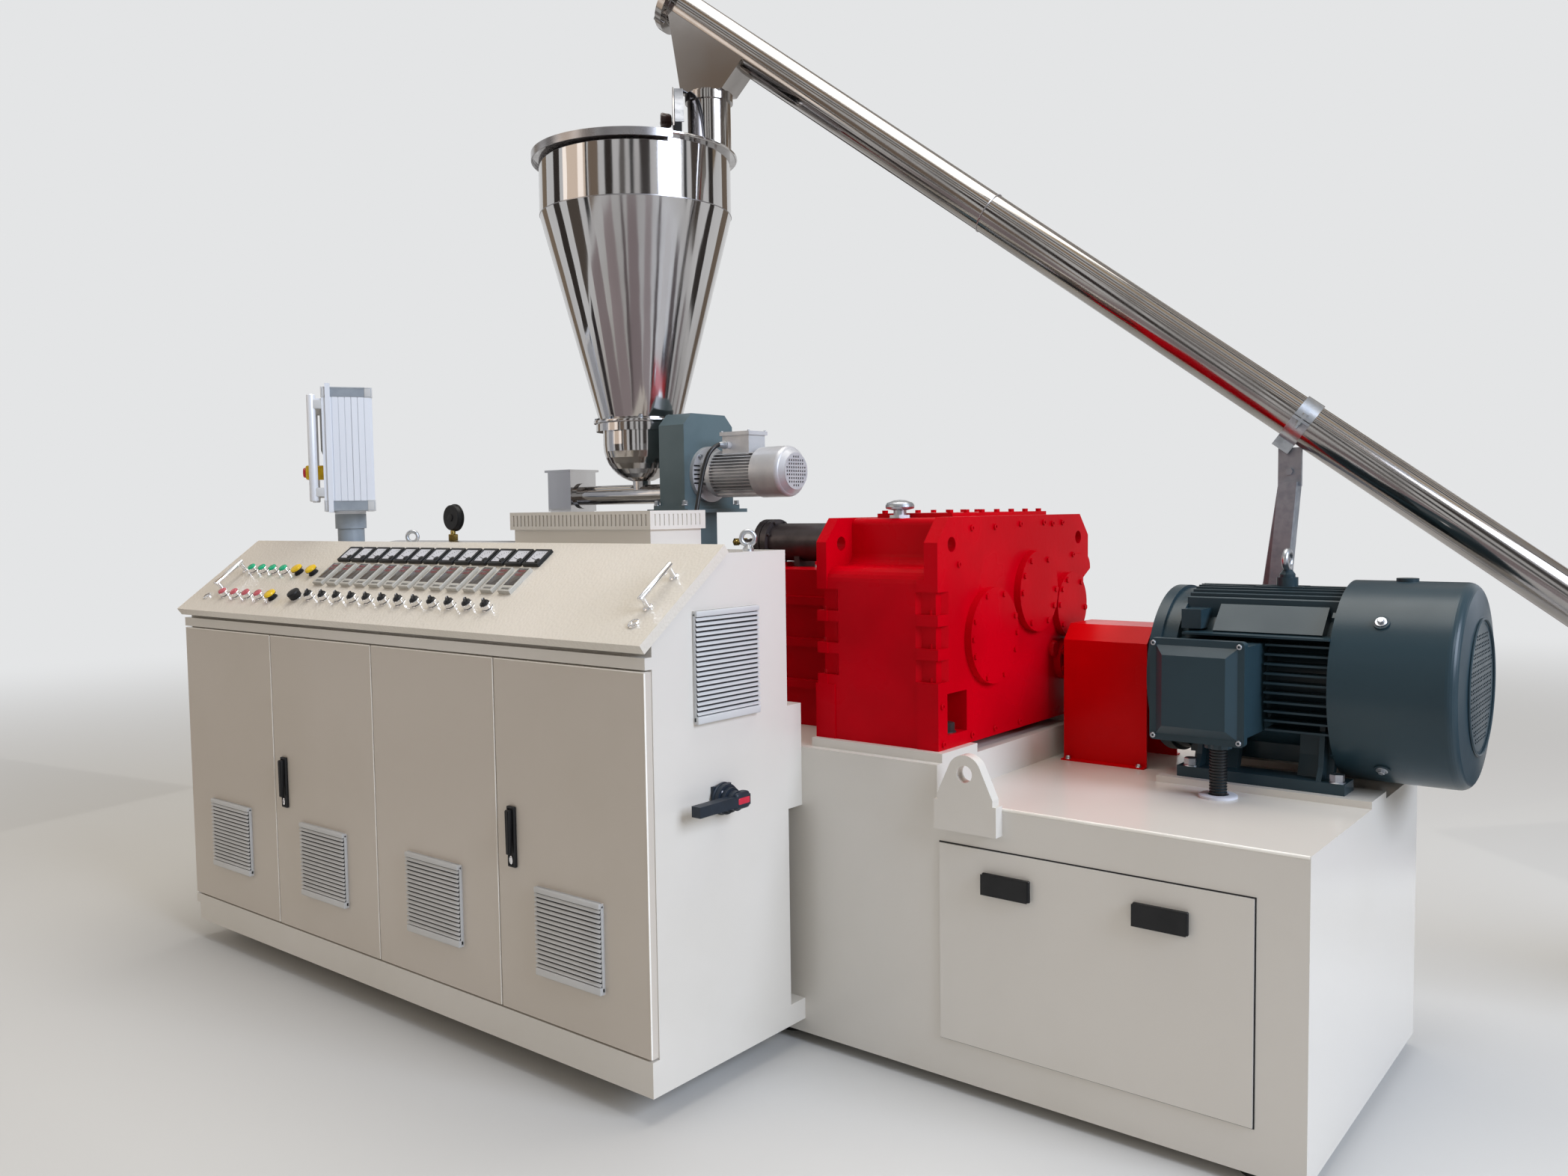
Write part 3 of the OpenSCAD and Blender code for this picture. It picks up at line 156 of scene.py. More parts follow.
class Bench:
    """Modelling moves, each one a step that a modeller would make by hand."""

    @staticmethod
    def mode(name: str) -> None:
        """Opens a mode for the active object."""
        bpy.ops.object.mode_set(mode=name)

    @classmethod
    def clear(cls) -> None:
        """Leaves edit mode and deselects everything."""
        if bpy.context.object and bpy.context.object.mode != "OBJECT":
            cls.mode("OBJECT")
        bpy.ops.object.select_all(action="DESELECT")

    @classmethod
    def take(cls, *objs: Object) -> None:
        """Selects objects, with the first one active."""
        cls.clear()
        for obj in objs:
            obj.select_set(True)
        bpy.context.view_layer.objects.active = objs[0]

    @staticmethod
    def fix(name: str) -> Object:
        """Names the new primitive and applies its place and size."""
        obj = bpy.context.active_object
        obj.name = obj.data.name = name
        bpy.ops.object.transform_apply(location=True, rotation=True, scale=True)
        return obj

    @classmethod
    def outward(cls, obj: Object) -> Object:
        """Turns all normals of a piece outwards."""
        cls.take(obj)
        cls.mode("EDIT")
        bpy.ops.mesh.select_all(action="SELECT")
        bpy.ops.mesh.normals_make_consistent(inside=False)
        cls.mode("OBJECT")
        return obj

    @classmethod
    def block(cls, name: str, low: Point, high: Point, soft: float = 0.0, segments: int = 2) -> Object:
        """Adds a block between two corners.

        Args:
            name: Name of the piece.
            low: The corner with the lowest coordinates.
            high: The opposite corner.
            soft: Width of the rounding of its edges, or 0 for none.
            segments: Steps of that rounding.

        Returns:
            The block.
        """
        cls.clear()
        middle = [(a + b) / 2 for a, b in zip(low, high)]
        bpy.ops.mesh.primitive_cube_add(size=1, location=middle)
        bpy.context.active_object.scale = [b - a for a, b in zip(low, high)]
        obj = cls.fix(name)
        return cls.soften(obj, soft, segments) if soft else obj

    @classmethod
    def turned(cls, name: str, profile: Profile, sides: int = 32) -> Object:
        """Turns a profile by extruding and resizing the end face of a disc.

        Args:
            name: Name of the piece.
            profile: Radius and height of each step, from the bottom up or back down a bore.
            sides: Number of sides.

        Returns:
            The closed solid about +Z.
        """
        cls.clear()
        radius, height = profile[0]
        bpy.ops.mesh.primitive_circle_add(
            vertices=sides, radius=radius, fill_type="NGON", location=(0, 0, height)
        )
        obj = cls.fix(name)
        cls.mode("EDIT")
        bpy.ops.mesh.select_all(action="SELECT")
        for new_radius, new_height in profile[1:]:
            step = {"value": (0, 0, new_height - height)}
            bpy.ops.mesh.extrude_region_move(TRANSFORM_OT_translate=step)
            if new_radius != radius:
                k = new_radius / radius
                bpy.ops.transform.resize(value=(k, k, 1), center_override=(0, 0, new_height))
            radius, height = new_radius, new_height
        cls.mode("OBJECT")
        return cls.outward(obj)

    @classmethod
    def torus(
        cls, name: str, radii: tuple[float, float], sides: tuple[int, int], degrees: Point = (0, 0, 0)
    ) -> Object:
        """Adds a round ring about +Z.

        Args:
            name: Name of the piece.
            radii: Radius of the ring and of its section.
            sides: Number of sides round the ring and round its section.
            degrees: Turn about X, Y and Z.

        Returns:
            The ring.
        """
        cls.clear()
        bpy.ops.mesh.primitive_torus_add(
            major_radius=radii[0], minor_radius=radii[1], major_segments=sides[0],
            minor_segments=sides[1], location=(0, 0, 0), rotation=[math.radians(a) for a in degrees],
        )
        return cls.fix(name)

    @classmethod
    def band(cls, name: str, radius: float, height: float, sides: int = 72) -> Object:
        """Makes an open sheet about +Z, by opening both ends of a cylinder.

        Args:
            name: Name of the piece.
            radius: Radius at the middle of the sheet.
            height: Height of the band, negative to go down.
            sides: Number of sides.

        Returns:
            The open sheet, without thickness.
        """
        obj = cls.turned(name, [(radius, 0.0), (radius, height)], sides)
        cls.pick(obj, ends)
        bpy.ops.mesh.delete(type="ONLY_FACE")
        cls.mode("OBJECT")
        return obj

    @classmethod
    def modify(cls, obj: Object, kind: str, **settings: Any) -> Object:
        """Adds a modifier and applies it.

        Args:
            obj: The piece.
            kind: Kind of modifier.
            settings: Its properties by name.

        Returns:
            The same piece.
        """
        cls.take(obj)
        modifier = obj.modifiers.new(kind.lower(), kind)
        for name, value in settings.items():
            setattr(modifier, name, value)
        bpy.ops.object.modifier_apply(modifier=modifier.name)
        return obj

    @classmethod
    def thicken(cls, obj: Object, wall: float) -> Object:
        """Gives a sheet its thickness, half to each side."""
        return cls.outward(cls.modify(obj, "SOLIDIFY", thickness=wall, offset=0.0))

    @classmethod
    def soften(cls, obj: Object, width: float, segments: int = 2) -> Object:
        """Rounds the sharp edges."""
        limits = {"limit_method": "ANGLE", "angle_limit": BEVEL_ANGLE}
        return cls.modify(obj, "BEVEL", width=width, segments=segments, **limits)

    @classmethod
    def pick(cls, obj: Object, test: FaceTest) -> None:
        """Opens a piece in edit mode with the faces that pass a test selected."""
        cls.take(obj)
        cls.mode("EDIT")
        bpy.ops.mesh.select_mode(type="FACE")
        bpy.ops.mesh.select_all(action="DESELECT")
        cls.mode("OBJECT")
        for face in obj.data.polygons:
            face.select = test(face.center, face.normal)
        cls.mode("EDIT")

    @classmethod
    def press(cls, obj: Object, test: FaceTest, rim: float, depth: float) -> Object:
        """Insets the faces that pass a test and moves them along their normals.

        Args:
            obj: The piece.
            test: Which faces, by centre and normal.
            rim: Width of the border that stays.
            depth: Distance outwards, or inwards where negative.

        Returns:
            The same piece.
        """
        cls.pick(obj, test)
        bpy.ops.mesh.inset(thickness=rim, depth=0.0)
        bpy.ops.mesh.extrude_region_shrink_fatten(TRANSFORM_OT_shrink_fatten={"value": depth})
        cls.mode("OBJECT")
        return obj

    @classmethod
    def resize(cls, obj: Object, test: FaceTest, factors: Point, centre: Point) -> Object:
        """Resizes the faces that pass a test.

        Args:
            obj: The piece.
            test: Which faces, by centre and normal.
            factors: Factor along X, Y and Z.
            centre: The point that stays.

        Returns:
            The same piece.
        """
        cls.pick(obj, test)
        bpy.ops.transform.resize(value=factors, center_override=centre)
        cls.mode("OBJECT")
        return obj

    @classmethod
    def join(cls, name: str, objs: Sequence[Object]) -> Object:
        """Joins pieces into one."""
        cls.take(*objs)
        if len(objs) > 1:
            bpy.ops.object.join()
        obj = bpy.context.active_object
        obj.name = obj.data.name = name
        return obj

    @classmethod
    def move(cls, obj: Object, place: Matrix) -> Object:
        """Moves a piece and applies its new place to the mesh."""
        cls.take(obj)
        obj.matrix_world = place @ obj.matrix_world
        bpy.ops.object.transform_apply(location=True, rotation=True, scale=True)
        return obj

    @classmethod
    def repeat(cls, obj: Object, places: Sequence[Matrix]) -> Object:
        """Copies a piece to each place, each copy with its own mesh, and joins them."""
        twins = []
        for place in places:
            twin = obj.copy()
            twin.data = obj.data.copy()
            bpy.context.collection.objects.link(twin)
            twins.append(cls.move(twin, place))
        name = obj.name
        bpy.data.objects.remove(obj)
        return cls.join(name, twins)


def hexagon(name: str, across: float, height: float, washer: float = 0.0) -> Object:
    """Models a hexagon head, chamfered on top, on a round washer.

    Args:
        name: Name of the piece.
        across: Width over the corners.
        height: Height of the head.
        washer: Radius of the washer, or 0 for none.

    Returns:
        The bolt, standing on z 0.
    """
    r, chamfer = across / 2, 1.2
    base = 2.5 if washer else 0.0
    top = base + height
    head = Bench.turned(name, [(r, base), (r, top - chamfer), (r - chamfer, top)], 6)
    if not washer:
        return head
    disc = Bench.turned(f"{name}_washer", [(washer, 0), (washer, 2), (washer - 0.6, 2.6)], 24)
    return Bench.join(name, [head, disc])


def socket_screw(name: str, radius: float, height: float) -> Object:
    """Models a socket-head screw with its recess."""
    chamfer = 0.8
    body = Bench.turned(name, [(radius, 0), (radius, height - chamfer), (radius - chamfer, height)], 18)
    return Bench.press(body, faces(Facing.UP, height - 0.1), radius * 0.4, -height * 0.5)


def new_object(name: str, data: bpy.types.ID) -> Object:
    """Adds an object for a camera, a lamp or a curve."""
    obj = bpy.data.objects.new(name, data)
    bpy.context.collection.objects.link(obj)
    return obj


def linear(code: str) -> tuple[float, float, float, float]:
    """Turns an sRGB hex colour to linear values."""
    parts = [int(code[i : i + 2], 16) / 255 for i in (1, 3, 5)]
    red, green, blue = (c / 12.92 if c <= 0.04045 else ((c + 0.055) / 1.055) ** 2.4 for c in parts)
    return red, green, blue, 1.0


def add(
    tree: NodeTree,
    kind: str,
    settings: dict[str, Any] | None = None,
    links: dict[str | int, Socket] | None = None,
) -> bpy.types.Node:
    """Adds a node.

    Args:
        tree: The node tree.
        kind: Class of the node, without ShaderNode.
        settings: Properties or input values by name.
        links: Sockets that feed the inputs, by input name or number.

    Returns:
        The node.
    """
    node = tree.nodes.new(f"ShaderNode{kind}")
    for name, value in (settings or {}).items():
        if hasattr(node, name):
            setattr(node, name, value)
        else:
            node.inputs[name].default_value = value
    for name, socket in (links or {}).items():
        tree.links.new(socket, node.inputs[name])
    return node


def per_mm(size: float) -> float:
    """Gives the texture scale at which one feature is size millimetres across."""
    return 1.0 / (size * MM)


@dataclass(frozen=True)
class Finish:
    """A surface: its colour, gloss, fine texture and slow change of shade.

    Attributes:
        name: Name of the material.
        colour: Main sRGB colour.
        shade: sRGB colour of the duller places.
        rough: Roughness of the cleaner places.
        dull: Roughness of the duller places.
        grain_mm: Size of the surface texture.
        relief_mm: Height of that texture.
        cloud_mm: Size of the patches of shade.
        metallic: 1 for bare metal.
        ior: Index of refraction, for what isn't metal.
        stretch: Stretch of the texture along X, Y and Z.
    """

    name: str
    colour: str
    shade: str
    rough: float
    dull: float
    grain_mm: float
    relief_mm: float
    cloud_mm: float = 180.0
    metallic: float = 0.0
    ior: float = 1.5
    stretch: Point = (1.0, 1.0, 1.0)

    def make(self) -> bpy.types.Material:
        """Builds the material, once for each name."""
        known = bpy.data.materials.get(self.name)
        if known:
            return known
        material = bpy.data.materials.new(self.name)
        material.use_nodes = True
        material.diffuse_color = linear(self.colour)
        tree = material.node_tree
        shader = tree.nodes["Principled BSDF"]
        shader.inputs["Metallic"].default_value = self.metallic
        if self.metallic < 1.0:
            shader.inputs["IOR"].default_value = self.ior
        place = add(tree, "TexCoord")
        mapped = add(tree, "Mapping", {"Scale": self.stretch}, {"Vector": place.outputs["Object"]})
        vector = mapped.outputs["Vector"]
        clouds = {"Scale": per_mm(self.cloud_mm), "Detail": 4.0, "Roughness": 0.55}
        cloud = add(tree, "TexNoise", clouds, {"Vector": vector}).outputs["Fac"]
        ramp = add(tree, "ValToRGB", {}, {"Fac": cloud})
        stops = ramp.color_ramp.elements
        for stop, position, tone in zip(stops, (0.38, 0.58), (self.shade, self.colour)):
            stop.position = position
            stop.color = linear(tone)
        spread = {"From Min": 0.36, "From Max": 0.6, "To Min": self.dull, "To Max": self.rough}
        gloss = add(tree, "MapRange", spread, {"Value": cloud})
        depth = {"Strength": 1.0, "Distance": self.relief_mm * MM}
        bump = add(tree, "Bump", depth, {"Height": self.height(tree, vector)})
        tree.links.new(ramp.outputs["Color"], shader.inputs["Base Color"])
        tree.links.new(gloss.outputs["Result"], shader.inputs["Roughness"])
        tree.links.new(bump.outputs["Normal"], shader.inputs["Normal"])
        return material

    def height(self, tree: NodeTree, vector: Socket) -> Socket:
        """Gives the height of the fine relief: a noise."""
        grain = {"Scale": per_mm(self.grain_mm), "Detail": 2.0, "Roughness": 0.6}
        return add(tree, "TexNoise", grain, {"Vector": vector}).outputs["Fac"]


@dataclass(frozen=True)
class WrinkleCoat(Finish):
    """Hammered powder coat: round cells that run into each other."""

    def height(self, tree: NodeTree, vector: Socket) -> Socket:
        """Gives the height of the cells of the coat."""
        cells = {"feature": "SMOOTH_F1", "Scale": per_mm(self.grain_mm), "Smoothness": 0.8}
        return add(tree, "TexVoronoi", cells, {"Vector": vector}).outputs["Distance"]


class Paint(Enum):
    """Finishes of the machine, each with what it gives the eye.

    The numbers are the two roughnesses, the size and height of the grain, the
    size of the patches of shade and the share of metal, in Finish's order.
    """

    # Epoxy-polyester powder coat, sprayed: satin, with a faint orange peel.
    # The peel is 2 mm and is drawn at 7 mm so that it shows.
    CREAM = Finish("powder_coat_cream", "#DBD7D0", "#D7D3CB", 0.2, 0.26, 7, 0.05, 700)
    # The same coat on the doors, painted darker and warmer as the shade that the doors stand in, and more
    # matt.
    DOOR_PAINTED_SHADE = Finish("powder_coat_door_painted_shade", "#CDC5BB", "#C9C1B6", 0.3, 0.36, 7, 0.05, 700)
    # The same coat made lighter as a painted highlight, for folds and rounded edges that catch the light.
    EDGE = Finish("powder_coat_edge_highlight", "#FFFCF5", "#F8F4EC", 0.24, 0.3, 7, 0.02, 90)
    # Hammered powder coat on the console lid, warmer and glossier, with a coarse cell.
    LID = WrinkleCoat("hammer_coat_cream", "#E0DAD0", "#DBD5CA", 0.13, 0.18, 8, 0.8, 500)
    # ABS, moulded: even, matt and a little greyer than the doors.
    LOUVRE = Finish("abs_light_grey", "#CBCCCC", "#C6C7C7", 0.42, 0.5, 3, 0.02)
    # Polyester filter mat behind the blades, painted dark grey as the shade between them, and fibrous.
    MAT = Finish("filter_mat_painted_shade", "#3A3A3B", "#323233", 0.8, 0.9, 2.5, 0.6, 30)
    # Alkyd enamel, brushed and sprayed on castings: deep gloss over a lumpy
    # ground. The index is kept low so that the red stays as deep as it is seen.
    RED = Finish("enamel_red", "#C60014", "#B90011", 0.26, 0.34, 16, 0.3, 300, ior=1.14)
    # Alkyd enamel on sheet, smoother than on the castings.
    RED_SHEET = Finish("enamel_red_sheet", "#D8000A", "#CC0008", 0.22, 0.28, 8, 0.05, 300, ior=1.18)
    # Machinery enamel on the grey cast-iron motor: semi-gloss, sand-cast ground.
    SLATE = Finish("enamel_slate", "#293D46", "#253841", 0.28, 0.38, 5, 0.1, 300, ior=1.38)
    # Machinery enamel on the feeder gearbox: satin grey-green.
    GREY_GREEN = Finish("enamel_grey_green", "#5D7076", "#56696F", 0.36, 0.46, 6, 0.1, ior=1.42)
    # Stainless sheet, mirror polished after rolling: sharp reflections on a
    # slightly wavy wall, drawn out along the height.
    POLISHED = Finish(
        "stainless_polished", "#C2C0BF", "#B4B1B0", 0.05, 0.12, 110, 0.9, 260, 1.0, stretch=(1, 1, 0.2)
    )
    # Stainless tube, polished by a belt that runs round it.
    TUBE = Finish(
        "stainless_tube", "#AFABA8", "#9F9B98", 0.09, 0.16, 150, 0.05, 150, 1.0, stretch=(0.6, 1, 0.6)
    )
    # Stainless plate with a brushed grain.
    BRUSHED = Finish(
        "stainless_brushed", "#A9A7A8", "#979496", 0.24, 0.34, 1.5, 0.02, 90, 1.0, stretch=(0.15, 1, 1)
    )
    # Turned and ground steel.
    MACHINED = Finish("steel_machined", "#8F9092", "#7C7D80", 0.3, 0.42, 2, 0.02, metallic=1.0)
    # Hot-rolled steel, galvanised: pale and faintly mottled.
    GALVANISED = Finish("steel_galvanised", "#989CA4", "#8B9098", 0.4, 0.52, 8, 0.05, 30, 0.7)
    # Zinc-plated steel of bolts: bright, faintly mottled.
    ZINC = Finish("zinc_plated_steel", "#C3C7CC", "#ABB0B6", 0.28, 0.4, 4, 0.03, 25, 1.0)
    # Chrome on steel: very smooth, and darker than zinc.
    CHROME = Finish("chrome_plate", "#808287", "#75777C", 0.08, 0.14, 20, 0.01, 30, 1.0)
    # Die-cast aluminium, tumbled: matt silver.
    ALUMINIUM = Finish("aluminium_cast", "#CFD0D3", "#C3C5C9", 0.36, 0.46, 3, 0.05, 60, 0.35)
    # Anodised aluminium profile: almost white, with a soft sheen.
    ANODISED = Finish(
        "aluminium_anodised", "#E8ECF2", "#E1E5EC", 0.4, 0.46, 1.5, 0.01, 200, 0.2, stretch=(1, 1, 0.1)
    )
    # Zinc die casting with a powder coat: the grey ends of the enclosure.
    PROFILE = Finish("die_cast_grey", "#99A1A9", "#8F979F", 0.38, 0.46, 3, 0.03, 60, 0.3)
    # Powder coat on the stand of the enclosure: light grey.
    STAND = Finish("powder_coat_grey", "#98A2AB", "#919BA4", 0.34, 0.42, 7, 0.05, 200)
    # Oiled cast iron and blackened steel, dark with a dull gleam.
    IRON = Finish("iron_oiled", "#4A4445", "#3D3838", 0.3, 0.46, 4, 0.12, 60, 0.45)
    # Glass-filled nylon, moulded: near black, matt.
    BLACK = Finish("nylon_black", "#17181A", "#131416", 0.4, 0.52, 2, 0.02, 60, ior=1.42)
    # Nylon of the isolator, tinted towards blue.
    NAVY = Finish("nylon_blue_black", "#222C38", "#1E2731", 0.36, 0.46, 2, 0.02, 60, ior=1.42)
    # Polycarbonate fronts of the controllers: pale grey, half gloss.
    GREY = Finish("polycarbonate_grey", "#BDBBB4", "#B5B3AC", 0.26, 0.34, 3, 0.01, 60)
    # The darker grey of the key strips.
    KEYS = Finish("polycarbonate_dark", "#7E7C76", "#75736D", 0.32, 0.4, 2, 0.02, 20)
    # Nitrile rubber of the machine feet.
    RUBBER = Finish("nitrile_rubber", "#232324", "#1A1A1B", 0.7, 0.82, 3, 0.08, 50)
    # Printed polyester film: white, slightly glossy and bluish.
    WHITE = Finish("polyester_white", "#D4D6DE", "#CCCED6", 0.3, 0.38, 5, 0.005, 40)
    # Smoked acrylic over the displays.
    GLASS = Finish("acrylic_smoked", "#55504C", "#4B4643", 0.12, 0.2, 60, 0.005, 80)
    # Light-emitting segments behind the acrylic: a dim red.
    DIGITS = Finish("display_digits", "#8E4144", "#80383B", 0.3, 0.4, 3, 0.005, 12)
    # Polycarbonate lenses and caps of the push buttons.
    LENS_GREEN = Finish("lens_green", "#14B27F", "#109C6E", 0.16, 0.24, 4, 0.01, 20)
    LENS_RED = Finish("lens_red", "#C25B63", "#B25059", 0.16, 0.24, 4, 0.01, 20)
    LENS_YELLOW = Finish("lens_yellow", "#EAC41C", "#DDB414", 0.18, 0.26, 4, 0.01, 20)
    # Nylon in the stronger red of the emergency stop and of the isolator.
    SIGNAL_RED = Finish("nylon_signal_red", "#D42A45", "#C5233D", 0.3, 0.38, 3, 0.01, 30)
    # Phenolic moulding of the flap's knob: dark brown, glossy.
    BAKELITE = Finish("phenolic_brown", "#3A201B", "#301A16", 0.2, 0.3, 3, 0.01, 30)
    # Turned brass fittings.
    BRASS = Finish("brass_turned", "#A08A4E", "#8C7740", 0.25, 0.38, 2, 0.02, 20, 1.0)
    # Plasticised PVC jacket of the cable: black, soft gloss.
    CABLE = Finish("pvc_black", "#161617", "#111112", 0.34, 0.44, 3, 0.02, 40)

    def material(self) -> bpy.types.Material:
        """Gives the Blender material."""
        return self.value.make()


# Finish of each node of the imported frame.
NODE_PAINT: dict[Paint, tuple[str, ...]] = {
    Paint.CREAM: (
        "base_frame", "access_panel", "lifting_lugs", "cabinet_body", "cabinet_plinth", "vent_hood",
    ),
    # The doors take the cream coat painted darker and warmer as their shade.
    Paint.DOOR_PAINTED_SHADE: ("door_1", "door_2", "door_3", "door_4"),
    Paint.LID: ("console_lid",),
    Paint.RUBBER: ("base_feet",),
    Paint.RED: ("gearbox_housing", "gearbox_covers", "distribution_box"),
    Paint.RED_SHEET: ("coupling_guard",),
    Paint.ZINC: ("loader_clamp", "breather"),
    Paint.IRON: ("oil_cooler",),
    Paint.MACHINED: ("shaft_coupling", "barrel"),
    Paint.SLATE: ("motor_frame", "terminal_box", "motor_cowl"),
    Paint.POLISHED: ("hopper_shell", "pickup_hopper", "feed_unit"),
    Paint.BRUSHED: ("barrel_cover", "hopper_lid", "hopper_flap"),
    Paint.TUBE: ("loader_tube",),
    Paint.GREY_GREEN: ("feeder_gearbox", "loader_motor"),
    Paint.STAND: ("screen_pedestal",),
    Paint.ALUMINIUM: ("feeder_motor",),
    Paint.GALVANISED: ("loader_post",),
    Paint.BLACK: (
        "pressure_gauge", "door_2_handle", "door_4_handle", "console_meters", "console_switches",
    ),
    Paint.NAVY: ("switch_base", "switch_handle"),
    Paint.GREY: ("console_controllers",),
    Paint.ANODISED: ("screen_box",),
}


def settle(
    obj: Object,
    paint: Paint,
    where: Matrix = ROW,
    body: Body = Body.MACHINE,
    at: Sequence[Matrix] = (),
) -> Object:
    """Finishes a piece: places it, shades it, paints it and hangs it on its body.

    Args:
        obj: The piece, in millimetres.
        paint: Its finish.
        where: Matrix from its own frame to the row frame.
        body: The body that carries it.
        at: Places that it is copied to first, or none to use it as it is.

    Returns:
        The piece.
    """
    if at:
        obj = Bench.repeat(obj, at)
    Bench.outward(Bench.move(obj, where))
    bpy.ops.object.shade_smooth_by_angle(angle=SMOOTH_ANGLE)
    obj.data.materials.clear()
    obj.data.materials.append(paint.material())
    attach(obj, body.value)
    log.info("%s on %s, %d faces", obj.name, body.value, len(obj.data.polygons))
    return obj


@dataclass
class Studio:
    """Floor, light and camera.

    Attributes:
        focal_px: Focal length in pixels of the full picture.
        width_px: Width of the full picture.
        eye: Camera place in the row frame.
        yaw: Turn to the left of straight ahead.
        pitch: Tilt downwards.
        roll: Roll about the line of sight.
        sensor_mm: Width of the camera's sensor.
        floor_m: Side of the floor.
        backdrop: sRGB colour of the distance.
        card_h: Height of the upright cards.
        card_far: Their distance from the middle.
        cards: Their directions in degrees, widths and tones.
        hopper: Axis and height from which the level cards spread.
        rays: Directions, widths and tones of the level cards.
        slats: Places along Y, widths and tones of the cards overhead.
    """

    focal_px: float = 1647.49
    width_px: float = 2096.0
    eye: Point = (1.83513, -3.19460, 1.41918)
    yaw: float = 0.675139
    pitch: float = 0.0623237
    roll: float = -0.0138187
    sensor_mm: float = 36.0
    floor_m: float = 90.0
    backdrop: str = "#E4E5E6"
    card_h: float = 7.5
    card_far: float = 11.0
    cards: tuple[tuple[float, float, str], ...] = (
        (-100, 2.2, "#8A7A6C"), (-82, 1.8, "#3A3431"), (-66, 1.2, "#6E6A68"), (-54, 1.0, "#2B2A2B"),
        (-38, 2.4, "#4A4644"), (-20, 1.1, "#2E2F31"), (2, 1.6, "#8B8380"), (16, 0.9, "#333232"),
        (32, 2.8, "#57504B"), (60, 1.6, "#3E3A38"), (95, 3.4, "#7D7064"), (140, 3.6, "#4B4541"),
        (180, 2.6, "#8A7B6B"), (208, 2.2, "#3F3A37"), (232, 3.0, "#5C544E"), (250, 1.0, "#2C2B2B"),
    )
    hopper: Point = (-1.185, -0.192, 0.012)
    rays: tuple[tuple[float, float, str], ...] = (
        (-170, 1.4, "#3A3535"), (-150, 1.6, "#8C7F7C"), (-128, 1.2, "#3B3637"), (-106, 2.2, "#9A8E90"),
        (-80, 2.0, "#A89C9E"), (-62, 0.5, "#6E6466"), (-50, 1.8, "#9C9093"), (-30, 1.2, "#B3AAAE"),
        (-16, 0.5, "#5A5256"), (-3, 1.3, "#F2F5FB"), (12, 0.9, "#6B6468"), (24, 0.8, "#2B292A"),
        (36, 0.7, "#8A8284"), (48, 1.0, "#2B292A"), (66, 1.0, "#A29A9A"),
    )
    slats: tuple[tuple[float, float, str], ...] = (
        (-11.0, 2.2, "#6F6152"), (-7.6, 1.2, "#2F2B28"), (-4.6, 1.8, "#A8927A"), (-2.0, 0.8, "#3B3632"),
        (0.6, 1.6, "#CDB898"), (3.2, 1.2, "#3E3833"), (5.6, 1.4, "#8F7C68"), (8.4, 1.8, "#2F2B28"),
        (11.8, 2.2, "#B59C80"), (15.6, 2.4, "#4C453F"), (20.0, 3.0, "#8B7A66"),
    )

    def camera(self) -> None:
        """Adds the camera at the photograph's viewing angle."""
        data = bpy.data.cameras.new("studio_camera")
        data.sensor_width = self.sensor_mm
        data.lens = self.sensor_mm * self.focal_px / self.width_px
        data.clip_end = 200.0
        obj = new_object("studio_camera", data)
        level = math.cos(self.pitch)
        sight = Vector((-math.sin(self.yaw) * level, math.cos(self.yaw) * level, -math.sin(self.pitch)))
        side = sight.cross(Vector((0, 0, 1))).normalized()
        up = side.cross(sight)
        c, s = math.cos(self.roll), math.sin(self.roll)
        axes = Matrix((c * side + s * up, c * up - s * side, -sight)).transposed()
        obj.matrix_world = Matrix.Translation(self.eye) @ axes.to_4x4()
        bpy.context.scene.camera = obj

    def world(self) -> None:
        """Lights the scene evenly and shows a pale backdrop to camera, metal and glass."""
        world = bpy.data.worlds.new("studio")
        world.use_nodes = True
        tree = world.node_tree
        tree.nodes.clear()
        rays = add(tree, "LightPath").outputs
        larger = {"operation": "MAXIMUM"}
        seen = add(tree, "Math", larger, {0: rays["Is Camera Ray"], 1: rays["Is Transmission Ray"]})
        shown = add(tree, "Math", larger, {0: seen.outputs[0], 1: rays["Is Glossy Ray"]})
        light = add(tree, "Background", {"Color": linear("#F3EADF"), "Strength": 0.38})
        back = add(tree, "Background", {"Color": linear(self.backdrop), "Strength": 1.0})
        mix = add(tree, "MixShader", {}, {0: shown.outputs[0], 1: light.outputs[0], 2: back.outputs[0]})
        add(tree, "OutputWorld", {}, {"Surface": mix.outputs[0]})
        bpy.context.scene.world = world

    def lamp(self, name: str, place: Point, target: Point, size: float, power: float, colour: str) -> None:
        """Adds a soft square lamp.

        Args:
            name: Name of the lamp.
            place: Its place in metres.
            target: Point that it faces.
            size: Side of the square.
            power: Power in watts.
            colour: Its sRGB colour.
        """
        data = bpy.data.lights.new(name, "AREA")
        data.size = size
        data.energy = power
        data.color = linear(colour)[:3]
        aim = (Vector(target) - Vector(place)).to_track_quat("-Z", "Y")
        new_object(name, data).matrix_world = Matrix.Translation(place) @ aim.to_matrix().to_4x4()

    def plane(self, name: str, side: float) -> tuple[Object, bpy.types.Material]:
        """Adds a square about the origin with a material of its own.

        Args:
            name: Name of both.
            side: Side of the square in metres.

        Returns:
            The square and its material.
        """
        Bench.clear()
        bpy.ops.mesh.primitive_plane_add(size=side, location=(0, 0, 0))
        obj = bpy.context.active_object
        obj.name = name
        material = bpy.data.materials.new(name)
        material.use_nodes = True
        obj.data.materials.append(material)
        return obj, material

